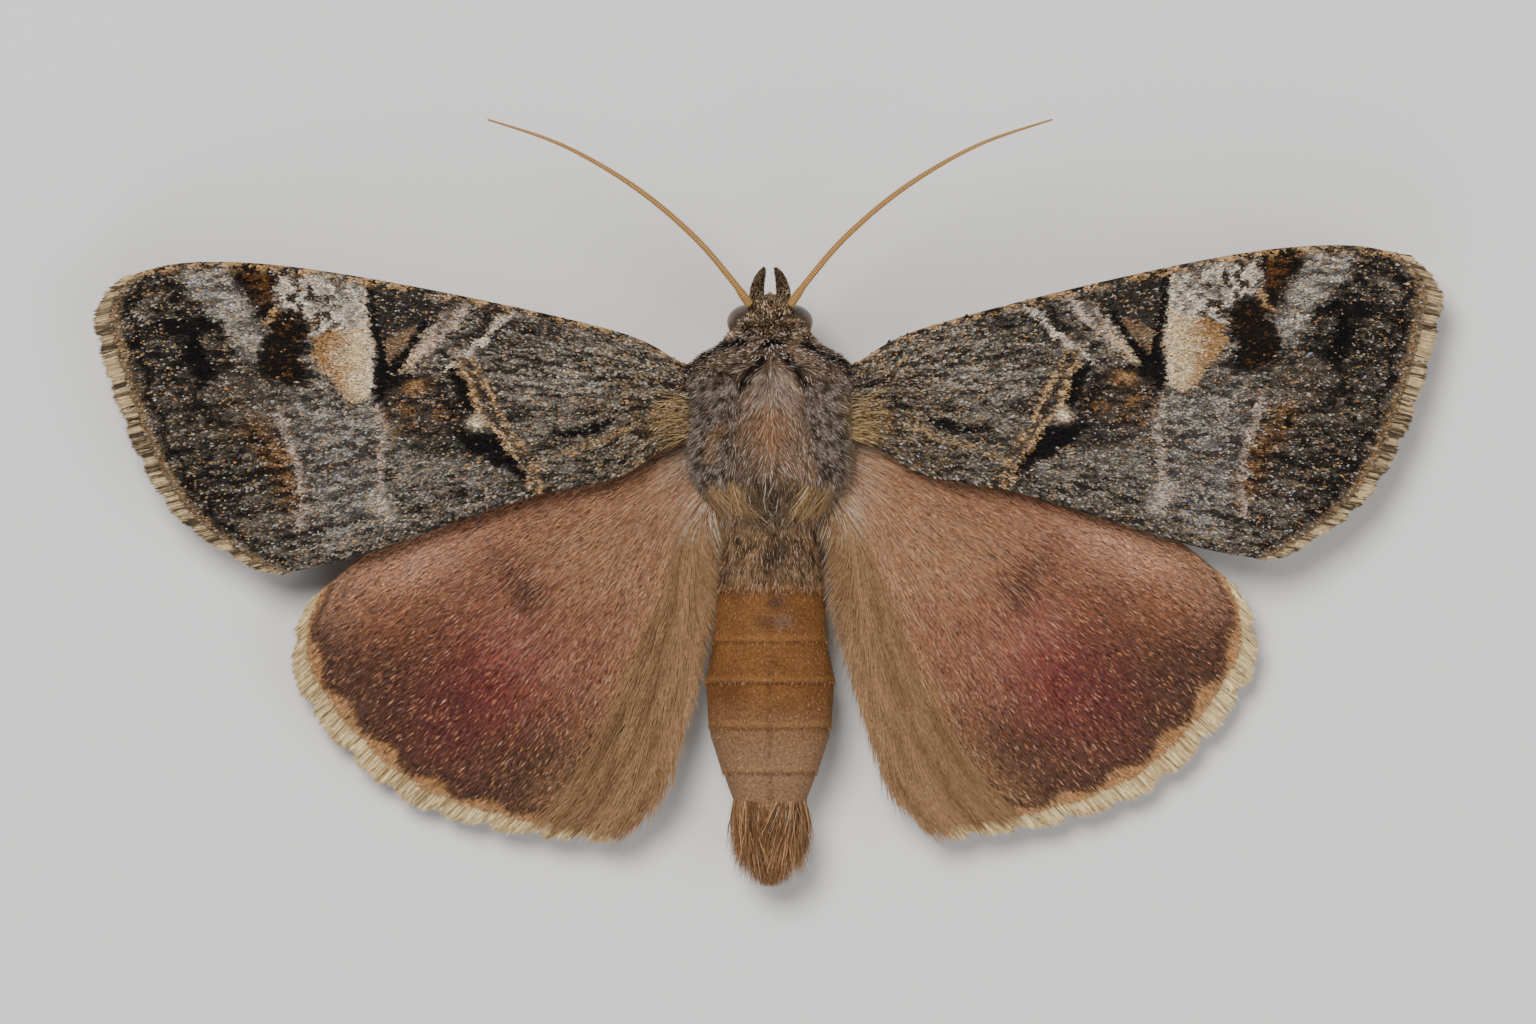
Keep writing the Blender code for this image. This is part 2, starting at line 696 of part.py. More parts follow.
def abdomen_stations():
    """Stations with a small step behind each segment, where the next one tucks in."""
    stations = []
    start = ABDOMEN_START
    for edge in ABDOMEN_EDGES:
        middle = (start + edge) / 2
        tucked = -SEGMENT_STEP / MM
        stations.append(abdomen_station(start, tucked if stations else 0.0))
        stations.append(abdomen_station(middle))
        stations.append(abdomen_station(edge))
        start = edge + 0.02
    stations.append(abdomen_station(start, -SEGMENT_STEP / MM))
    stations.append(abdomen_station(9.8))
    stations.append(abdomen_station(10.4))
    return stations


def make_abdomen(collection, material, scratch):
    abdomen = add_object("abdomen", loft("abdomen", abdomen_stations()), collection, material)
    cutter = add_object("abdomen_cutter", loft("abdomen_cutter", grown(THORAX, GAP)), scratch)
    combine(abdomen, [cutter], "DIFFERENCE")
    return abdomen


def side_points(path, sign):
    return [Vector((x * sign, y, z)) * MM for x, y, z in path]


def make_antenna(side, collection, material):
    sign = 1 if side == "left" else -1
    curve = smooth_curve(side_points(ANTENNA_PATH, sign))
    shares = [i / ANTENNA_STEPS for i in range(ANTENNA_STEPS + 1)]
    radii = []
    for share in shares:
        fall = max(0.0, (share - ANTENNA_TAPER_START) / (1 - ANTENNA_TAPER_START))
        radii.append(ANTENNA_RADIUS + (ANTENNA_TIP_RADIUS - ANTENNA_RADIUS) * fall**1.3)
    obj = tube("antenna_" + side, [curve(s) for s in shares], radii, collection)
    obj.data.materials.append(material)
    return obj


def make_palp(side, collection, material):
    sign = 1 if side == "left" else -1
    curve = smooth_curve(side_points(PALP_PATH, sign))
    table = [(i / 3, radius) for i, radius in enumerate(PALP_RADII)]
    points = [curve(i / PALP_STEPS) for i in range(PALP_STEPS + 1)]
    radii = [interpolate(table, i / PALP_STEPS) * MM for i in range(PALP_STEPS + 1)]
    obj = tube("palp_" + side, points, radii, collection)
    obj.data.materials.append(material)
    return obj


def make_proboscis(collection, material):
    """The coiled tongue as a turned ring with a groove between its turns."""
    bm = bmesh.new()
    right = [(d * COIL_RADIUS, -x * COIL_HALF_THICKNESS) for d, x in COIL_PROFILE]
    left = [(d, -x) for d, x in reversed(right)]
    profile = right + left
    rings = []
    for i in range(COIL_SIDES):
        angle = 2 * math.pi * i / COIL_SIDES
        ring = []
        for distance, x in profile:
            place = Vector((x, distance * math.cos(angle), distance * math.sin(angle)))
            ring.append(bm.verts.new(COIL_CENTRE + place))
        rings.append(ring)
    for i, ring in enumerate(rings):
        after = rings[(i + 1) % COIL_SIDES]
        for j in range(len(profile)):
            k = (j + 1) % len(profile)
            bm.faces.new((ring[j], ring[k], after[k], after[j]))
    return add_object("proboscis", finish_mesh("proboscis", bm), collection, material)


def make_spurs(kind, knee, ankle, foot, scratch):
    """Pairs of cones on the shin, pointing down it and a little apart."""
    spurs = []
    down = (ankle - knee).normalized()
    aside = down.cross(Vector((0, 0, 1))).normalized()
    for share in SPURS[kind]:
        for turn in (1, -1):
            heading = down * 0.55 + (foot - ankle).normalized() * 0.45 + aside * SPUR_SPREAD * turn
            heading.normalize()
            root = knee.lerp(ankle, share * 0.93)
            bm = bmesh.new()
            bmesh.ops.create_cone(
                bm,
                cap_ends=True,
                segments=SPUR_SIDES,
                radius1=SPUR_RADIUS,
                radius2=SPUR_TIP_RADIUS,
                depth=SPUR_LENGTH,
            )
            spin = heading.to_track_quat("Z", "Y").to_matrix().to_4x4()
            middle = root + heading * (SPUR_LENGTH * 0.5)
            bmesh.ops.transform(bm, matrix=Matrix.Translation(middle) @ spin, verts=bm.verts)
            spurs.append(add_object(f"spur_{share}_{turn}", finish_mesh("spur", bm), scratch))
    return spurs


def make_leg(kind, side, collection, material, scratch):
    sign = 1 if side == "left" else -1
    name = kind + "_" + side
    root, knee, ankle, claw = side_points(LEGS[kind], sign)
    r = {key: value * MM for key, value in LEG_RADII.items()}
    points = [root, root.lerp(knee, 0.5), root.lerp(knee, 0.93)]
    points += [knee.lerp(ankle, 0.07), knee.lerp(ankle, 0.5), knee.lerp(ankle, 0.94)]
    points += [ankle.lerp(claw, 0.12), ankle.lerp(claw, 0.45), claw]
    for place in points[6:]:
        place.z = TARSUS_Z * MM
    radii = [r["thigh"], r["thigh"], r["knee"], r["shin"], r["shin"], r["ankle"]]
    radii += [r["foot"], r["foot"], r["foot"] * 0.92]
    obj = tube(name, points, radii, collection)
    obj.data.materials.append(material)
    spurs = make_spurs(kind, knee, ankle, claw, scratch)
    if spurs:
        combine(obj, spurs, "UNION")
    trim_below(obj.data, 0.0)
    cutter = add_object(name + "_cutter", loft(name + "_cutter", grown(THORAX, GAP)), scratch)
    combine(obj, [cutter], "DIFFERENCE")
    return obj


def centre_on_origin(objects):
    """Moves every mesh so that the whole is centred over the origin and rests on the floor."""
    corners = [vert.co for obj in objects for vert in obj.data.vertices]
    low = Vector([min(co[i] for co in corners) for i in range(3)])
    high = Vector([max(co[i] for co in corners) for i in range(3)])
    shift = Vector(((low.x + high.x) / 2, (low.y + high.y) / 2, low.z))
    for obj in objects:
        obj.data.transform(Matrix.Translation(-shift))


def build():
    clear_scene()
    random.seed(SEED)
    moth = bpy.data.collections.new("owlet_moth")
    bpy.context.scene.collection.children.link(moth)
    scratch = bpy.data.collections.new("helpers")
    bpy.context.scene.collection.children.link(scratch)
    looks = {name: make_material(name) for name in COLOURS}
    make_thorax(moth, looks["thorax"], scratch)
    make_head(moth, looks["head"], scratch)
    make_abdomen(moth, looks["abdomen"], scratch)
    make_proboscis(moth, looks["antenna"])
    for side in ("left", "right"):
        make_eye(side, moth, looks["eye"])
        make_antenna(side, moth, looks["antenna"])
        make_palp(side, moth, looks["head"])
        make_forewing(side, moth, looks["forewing"], scratch)
        make_hindwing(side, moth, looks["hindwing"], scratch)
        for kind in LEGS:
            make_leg(kind, side, moth, looks["leg"], scratch)
    nodes = bpy.data.objects
    dress(nodes["thorax"], THORAX_LOCKS, thorax_station, scratch)
    dress(nodes["abdomen"], ABDOMEN_LOCKS, abdomen_station, scratch)
    dress(nodes["head"], HEAD_LOCKS, head_station, scratch)
    for side in ("left", "right"):
        dress_hindwing(side, scratch)
    bpy.data.collections.remove(scratch)
    centre_on_origin(moth.objects)
    for obj in moth.objects:
        shade_round(obj)


build()
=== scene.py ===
"""Render scene of the owlet moth: skin, scales, fur, fringes, feelers, eyes, light and camera.

Shapes are worked out in millimetres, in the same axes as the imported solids: the head points to -Y,
the moth's left is +X and the floor is Z = 0. They are scaled to metres and set in place at the end.
"""

import math

import bmesh
import bpy
import numpy as np
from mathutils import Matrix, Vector


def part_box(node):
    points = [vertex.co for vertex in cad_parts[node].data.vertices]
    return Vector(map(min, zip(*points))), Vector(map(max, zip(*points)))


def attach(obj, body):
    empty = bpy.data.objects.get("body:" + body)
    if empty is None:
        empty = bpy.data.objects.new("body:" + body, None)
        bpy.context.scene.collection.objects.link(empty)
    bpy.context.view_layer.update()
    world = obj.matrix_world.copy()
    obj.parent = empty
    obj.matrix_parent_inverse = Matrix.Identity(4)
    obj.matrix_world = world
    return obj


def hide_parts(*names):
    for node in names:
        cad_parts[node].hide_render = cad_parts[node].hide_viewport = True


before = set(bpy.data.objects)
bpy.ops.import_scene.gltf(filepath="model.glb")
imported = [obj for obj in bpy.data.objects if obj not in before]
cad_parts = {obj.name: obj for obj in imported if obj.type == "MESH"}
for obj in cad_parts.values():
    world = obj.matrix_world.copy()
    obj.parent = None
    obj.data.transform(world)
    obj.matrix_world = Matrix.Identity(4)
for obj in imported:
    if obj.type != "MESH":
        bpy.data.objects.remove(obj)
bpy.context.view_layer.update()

MM = 0.001

# Photo: millimetres per pixel, and the pixel over the model's own origin.
MM_PER_PIXEL = 40.0 / 1345.0
AXIS_PX = 770.0
MIDDLE_PX = 507.5
FRAME_PX = (1536.0, 1024.0)

# Wing sheet and edges, as in the solids.
WING_STEP = 0.9
WING_ROOT_X = 2.5
WING_ROOT_Z = 4.2
TIP_X = 20.0
TIP_DROOP = 2.3
REAR_START_Y = -3.0
REAR_LENGTH = 13.0
REAR_DROOP = 1.6
SWEEP_BACK_DEG = {"left": 1.0, "right": -1.0}
WING_PIVOT = (2.5, -3.2)
FOREWING = {
    "costa": [(1.2, -3.6), (2.6, -4.3), (4.5, -5.25), (9.8, -6.55), (14.4, -7.4), (17.4, -7.55),
              (19.2, -7.15)],
    "termen": [(19.2, -7.15), (20.0, -6.3), (19.95, -5.1), (19.0, -2.2), (17.8, -0.1), (16.1, 1.2),
               (14.9, 1.8)],
    "inner": [(1.4, -2.2), (2.9, -1.9), (4.5, -0.95), (7.1, -0.4), (9.8, 0.45), (12.8, 1.4), (14.9, 1.8)],
    "veins": (0.09, 0.2, 0.31, 0.42, 0.53, 0.64, 0.75, 0.87),
    "drop": 0.0,
    "membrane_end": 0.97,
    "scallop": 0.1,
}
HINDWING = {
    "costa": [(1.2, -2.7), (3.0, -2.4), (6.5, -1.5), (9.6, -0.2), (12.1, 1.15), (13.8, 2.6)],
    "termen": [(13.8, 2.6), (14.3, 3.7), (14.2, 5.1), (12.9, 7.0), (10.9, 8.65), (8.0, 9.55), (4.8, 9.9)],
    "inner": [(1.3, -0.9), (2.05, 0.6), (2.15, 2.4), (2.35, 4.4), (2.8, 6.4), (3.5, 8.4), (4.8, 9.9)],
    "veins": (0.1, 0.24, 0.37, 0.49, 0.6, 0.71, 0.82, 0.92),
    "drop": WING_STEP,
    "membrane_end": 0.95,
    "scallop": 0.2,
}
SKIN_HALF_THICKNESS = 0.09
VEIN_RELIEF = 0.05
SCALE_LIFT = 0.015


def srgb(red, green, blue):
    """A linear colour from the 0 to 255 values that a screen shows."""
    value = np.array([red, green, blue], dtype=float) / 255.0
    return np.where(value <= 0.04045, value / 12.92, ((value + 0.055) / 1.055) ** 2.4)


def smooth(low, high, x):
    t = np.clip((x - low) / (high - low), 0.0, 1.0)
    return t * t * (3.0 - 2.0 * t)


def mix(a, b, share):
    share = np.asarray(share)[..., None]
    return a * (1.0 - share) + b * share


def mix_number(a, b, share):
    return a * (1.0 - share) + b * share


UP = np.array([0.0, 0.0, 1.0])


def unit(vectors):
    """Rows scaled to length 1."""
    return vectors / (np.linalg.norm(vectors, axis=1)[:, None] + 1e-12)


def laid(ahead, out):
    """Unit headings, and the surface's directions made square to them."""
    ahead = unit(ahead)
    return ahead, unit(out - ahead * np.sum(out * ahead, axis=1)[:, None])


def dress(obj, material):
    """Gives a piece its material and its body."""
    obj.data.materials.append(material)
    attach(obj, "root")


class Paint:
    """A colour for each point, with marks painted over it in turn at places in photo pixels."""

    def __init__(self, colour, points, shade=None):
        self.colour, self.points = colour, points
        self.shade = None if shade is None else np.clip(shade, 0, 1)

    def __call__(self, mask, value, strength=1.0):
        value = srgb(*value) if isinstance(value, tuple) else value
        self.colour = mix(self.colour, value, np.clip(mask * strength, 0, 1))

    def area(self, outline, soft, value, strength=1.0):
        self(area_mask(self.points, outline, soft), value, strength)

    def line(self, path, width, soft, value, strength=1.0):
        self(line_mask(self.points, path, width, soft), value, strength)

    def spot(self, centre, radii, value, strength=1.0, turn_deg=0.0):
        self(spot_mask(self.points, centre, radii, turn_deg), value, strength)

    def span(self, dark, light):
        """From a dark to a light colour by the shade."""
        return mix(srgb(*dark), srgb(*light), self.shade)


def hashed(cell, seed):
    """A steady random number from 0 to 1 for each whole-number cell."""
    total = np.full(cell.shape[0], seed * 374761393, dtype=np.int64)
    for axis, prime in zip(range(cell.shape[1]), (668265263, 2147483647, 1274126177)):
        total = (total + cell[:, axis] * prime) & 0xFFFFFFFF
        total = ((total ^ (total >> 13)) * 1274126177) & 0xFFFFFFFF
    return ((total ^ (total >> 16)) & 0xFFFFFF) / float(0xFFFFFF)


def noise(points, size, seed):
    """Smooth noise from 0 to 1 whose features are about size across."""
    scaled = points / size
    cell = np.floor(scaled).astype(np.int64)
    part = scaled - cell
    part = part * part * (3.0 - 2.0 * part)
    total = np.zeros(points.shape[0])
    dims = points.shape[1]
    for corner in range(2**dims):
        offset = np.array([(corner >> axis) & 1 for axis in range(dims)])
        weight = np.prod(np.where(offset, part, 1.0 - part), axis=1)
        total += weight * hashed(cell + offset, seed)
    return total


def layered(points, size, seed, layers=3):
    total, weight, share = 0.0, 0.0, 1.0
    for layer in range(layers):
        total = total + noise(points, size / 2**layer, seed + layer) * share
        weight += share
        share *= 0.55
    return total / weight


def shaken(points, size, seeds, reach, layers=3):
    """Sideways steps, up to half of reach each way, that make straight edges ragged."""
    return np.column_stack([layered(points, size, seed, layers) - 0.5 for seed in seeds]) * reach


def in_a_row(values):
    """Numbers as places on a line, for noise along it."""
    return np.column_stack([values, values * 0])


def smooth_path(points, count):
    """count + 1 points, evenly spaced, on a smooth curve through points."""
    control = np.array(points, dtype=float)
    last = len(control) - 1
    fine = []
    t = np.linspace(0.0, 1.0, 33)[:-1, None]
    for i in range(last):
        before, start = control[max(i - 1, 0)], control[i]
        end, after = control[i + 1], control[min(i + 2, last)]
        fine.append(
            0.5
            * (
                2 * start
                + (end - before) * t
                + (2 * before - 5 * start + 4 * end - after) * t**2
                + (3 * start - before - 3 * end + after) * t**3
            )
        )
    fine = np.vstack(fine + [control[-1:]])
    reach = np.concatenate([[0.0], np.cumsum(np.linalg.norm(np.diff(fine, axis=0), axis=1))])
    wanted = np.linspace(0.0, reach[-1], count + 1)
    return np.column_stack([np.interp(wanted, reach, fine[:, axis]) for axis in range(fine.shape[1])])


EDGE_STEPS = 600


def along_edge(path, share):
    """Points at shares of an edge's length."""
    place = np.clip(share, 0.0, 1.0) * EDGE_STEPS
    low = np.minimum(place.astype(int), EDGE_STEPS - 1)
    part = (place - low)[:, None]
    return path[low] * (1.0 - part) + path[low + 1] * part


def wing_flat(shape, along, across):
    """Flat wing points from shares along and across it, before the sweep and the droop."""
    if "paths" not in shape:
        shape["paths"] = {edge: smooth_path(shape[edge], EDGE_STEPS) for edge in ("costa", "termen", "inner")}
    costa, termen, inner = (shape["paths"][edge] for edge in ("costa", "termen", "inner"))
    front, rear = costa[0], inner[0]
    u, v = along[:, None], across[:, None]
    edges = along_edge(costa, along) * (1 - v) + along_edge(inner, along) * v
    ends = (front * (1 - v) + rear * v) * (1 - u) + along_edge(termen, across) * u
    corners = (front * (1 - u) + costa[-1] * u) * (1 - v) + (rear * (1 - u) + inner[-1] * u) * v
    return edges + ends - corners


def vein_nearness(shape, across):
    """1 on a vein, falling to 0 between veins."""
    nearest = np.min(np.abs(across[:, None] - np.array(shape["veins"])[None]), axis=1)
    return np.exp(-((nearest / 0.012) ** 2)), nearest


def swept(points, side):
    """Mirrors flat left-wing points to a side and turns them by its sweep."""
    sign = 1.0 if side == "left" else -1.0
    turn = math.radians(SWEEP_BACK_DEG[side]) * sign
    x = points[:, 0] * sign - WING_PIVOT[0] * sign
    y = points[:, 1] - WING_PIVOT[1]
    turned_x = x * math.cos(turn) - y * math.sin(turn)
    turned_y = x * math.sin(turn) + y * math.cos(turn)
    return np.column_stack([turned_x + WING_PIVOT[0] * sign, turned_y + WING_PIVOT[1]])


def wing_sheet(x, y):
    out = np.maximum(0.0, (np.abs(x) - WING_ROOT_X) / (TIP_X - WING_ROOT_X))
    back = np.maximum(0.0, (y - REAR_START_Y) / REAR_LENGTH)
    return WING_ROOT_Z - TIP_DROOP * out**1.5 - REAR_DROOP * back**1.4


def wing_place(shape, side, along, across, above):
    """Wing points at a height over the middle sheet, with the veins a little raised."""
    flat = swept(wing_flat(shape, along, across), side)
    ridge, _ = vein_nearness(shape, across)
    fade = smooth(0.0, 0.12, along) * (1 - smooth(0.9, 1.0, along))
    relief = VEIN_RELIEF * ridge * fade + 0.03 * np.sin(across * 52.0) * fade
    z = wing_sheet(flat[:, 0], flat[:, 1]) - shape["drop"] + above + relief
    return np.column_stack([flat, z])


def to_pixels(flat):
    """Photo pixels of flat wing points, seen on the moth's left wing."""
    left = swept(flat, "left")
    return np.column_stack([AXIS_PX - left[:, 0] / MM_PER_PIXEL, MIDDLE_PX + left[:, 1] / MM_PER_PIXEL])


def distance_to(points, a, b):
    """How far points lie from the stretch from a to b."""
    edge = b - a
    share = np.clip(((points - a) @ edge) / (edge @ edge), 0.0, 1.0)
    return np.linalg.norm(points - a - share[:, None] * edge, axis=1)


def area_mask(points, outline, soft=3.0):
    """1 inside a closed outline, 0 outside, softened over a distance."""
    corners = np.array(outline, dtype=float)
    inside = np.zeros(len(points), dtype=bool)
    nearest = np.full(len(points), 1e9)
    for a, b in zip(corners, np.roll(corners, -1, axis=0)):
        nearest = np.minimum(nearest, distance_to(points, a, b))
        crosses = (a[1] > points[:, 1]) != (b[1] > points[:, 1])
        rise = b[1] - a[1] if abs(b[1] - a[1]) > 1e-9 else 1e-9
        inside ^= crosses & (points[:, 0] < (b[0] - a[0]) * (points[:, 1] - a[1]) / rise + a[0])
    signed = np.where(inside, nearest, -nearest)
    return smooth(-soft, soft, signed)


def line_mask(points, path, width, soft=1.5):
    corners = np.array(path, dtype=float)
    nearest = np.full(len(points), 1e9)
    for a, b in zip(corners[:-1], corners[1:]):
        nearest = np.minimum(nearest, distance_to(points, a, b))
    return 1.0 - smooth(width / 2 - soft, width / 2 + soft, nearest)


def spot_mask(points, centre, radii, turn_deg=0.0):
    """A soft oval: 1 at its centre, falling to 0 past its radii."""
    turn = math.radians(turn_deg)
    d = points - np.array(centre, dtype=float)
    x = (d[:, 0] * math.cos(turn) + d[:, 1] * math.sin(turn)) / radii[0]
    y = (-d[:, 0] * math.sin(turn) + d[:, 1] * math.cos(turn)) / radii[1]
    return np.exp(-(x * x + y * y))


# Forewing colours.
CHARCOAL = srgb(42, 36, 32)
ASH = srgb(126, 115, 101)
SOOT = srgb(24, 20, 18)
BLACK = srgb(12, 10, 10)
CREAM = srgb(218, 192, 152)
PALE_CREAM = srgb(230, 208, 174)
SAND = srgb(150, 110, 70)
CHALK = srgb(212, 196, 176)
RUST = srgb(122, 76, 36)
UMBER = srgb(19, 14, 10)
TAN = srgb(204, 160, 108)
PINK_GREY = srgb(190, 168, 150)

# Forewing marks as outlines and lines in photo pixels of the left wing.
CREAM_BLOCK_PX = [
    (336, 330), (373, 324), (376, 346), (373, 364), (376, 386), (369, 399), (354, 403), (345, 394),
    (336, 380), (323, 368), (315, 352), (317, 339),
]
CREAM_EDGE_PX = [(371, 288), (372, 326), (376, 346), (373, 364), (375, 386), (370, 396)]
PALE_COSTA_PX = [
    (281, 269), (308, 266), (345, 272), (372, 280), (373, 326), (336, 331), (317, 339), (311, 324),
    (302, 311), (286, 304), (279, 292), (277, 280),
]
DARK_STREAK_PX = [(308, 314), (330, 306), (345, 296), (336, 292), (318, 294)]
UMBER_PATCH_PX = [
    (234, 262), (279, 262), (276, 283), (273, 296), (279, 308), (290, 311), (308, 317), (313, 333),
    (309, 349), (300, 355), (308, 371), (313, 382), (289, 382), (267, 379), (258, 360), (264, 342),
    (273, 330), (269, 317), (257, 305), (247, 289),
]
RUST_GLOW_PX = [(252, 274), (272, 272), (274, 296), (264, 306), (254, 296)]
LIGHT_BAND_PX = [
    (182, 268), (226, 264), (239, 283), (248, 305), (264, 330), (268, 345), (256, 366), (240, 350),
    (226, 324), (204, 299), (189, 289),
]
GREY_BAND_PX = [
    (300, 396), (345, 404), (376, 408), (386, 450), (380, 520), (338, 544), (314, 520), (306, 470),
    (300, 430),
]
BLACK_SPOT_PX = [
    (163, 319), (186, 316), (206, 314), (226, 318), (224, 330), (207, 334), (198, 342), (184, 340),
    (170, 332),
]
LOWER_SPOT_PX = [(184, 340), (200, 338), (208, 350), (221, 374), (211, 384), (196, 374), (188, 358)]
ZIGZAG_PX = [(200, 372), (205, 380), (193, 392), (206, 406), (213, 419), (232, 425), (252, 426), (257, 440)]
BROWN_BAND_PX = [(256, 430), (274, 448), (288, 474), (300, 502)]
PALE_LINE_PX = [(280, 412), (288, 428), (299, 458), (306, 492), (304, 530)]
VERTICAL_PALE_PX = [(380, 408), (387, 434), (384, 480), (387, 512)]
WEDGE_PX = [(371, 281), (379, 281), (381, 311), (384, 330), (390, 345), (390, 362), (393, 369), (405, 351),
            (418, 333), (427, 319), (435, 322), (425, 337), (413, 354), (401, 373), (420, 375), (444, 380),
            (420, 392), (396, 399), (383, 404), (377, 397), (376, 380), (380, 364), (380, 349), (374, 330),
            (371, 311)]
TRIANGLE_PX = [(386, 336), (424, 327), (404, 352), (396, 366), (389, 362)]
COSTA_DARK_PX = [
    (374, 281), (398, 289), (458, 303), (444, 318), (430, 324), (405, 334), (387, 338), (380, 320),
]
CREAM_WEDGE_PX = [
    (402, 373), (414, 354), (427, 337), (438, 322), (451, 308), (476, 304), (470, 318), (458, 328),
    (445, 340), (432, 353), (416, 366),
]
WHITE_DIAGONAL_PX = [(521, 311), (500, 325), (486, 341), (470, 355), (451, 367)]
OUTER_LINE_PX = [
    (466, 366), (474, 382), (480, 400), (487, 417), (501, 433), (517, 454), (529, 468), (536, 488),
]
INNER_LINE_PX = [(473, 357), (490, 384), (500, 404), (508, 423), (524, 448), (541, 464), (546, 490)]
BETWEEN_LINES_PX = [(472, 362), (486, 390), (498, 420), (513, 442), (530, 464), (541, 486)]
BLACK_UPPER_PX = [(450, 368), (474, 374), (480, 392), (489, 416), (474, 418), (464, 400), (454, 386)]
BLACK_LOWER_PX = [
    (452, 431), (476, 431), (500, 436), (518, 451), (533, 478), (529, 485), (513, 468), (494, 463),
    (475, 450), (460, 440),
]
WHITE_SPOT_PX = (481, 422)
RUST_AREA_PX = [
    (392, 386), (420, 378), (448, 384), (466, 404), (478, 420), (466, 430), (440, 440), (404, 438),
    (386, 412),
]
BASAL_DASH_PX = [(556, 432), (580, 434), (610, 424)]
TAN_ROW_PX = [(535, 470), (566, 455), (600, 444), (640, 424), (682, 402)]
CELL_LINE_PX = [(512, 404), (560, 398), (640, 398), (680, 402)]
TAN_BASE_PX = (672, 424)
DARK_COSTA_BARS_PX = [((458, 306), (444, 330)), ((494, 314), (474, 338)), ((506, 326), (484, 352)),
                      ((548, 318), (530, 336))]


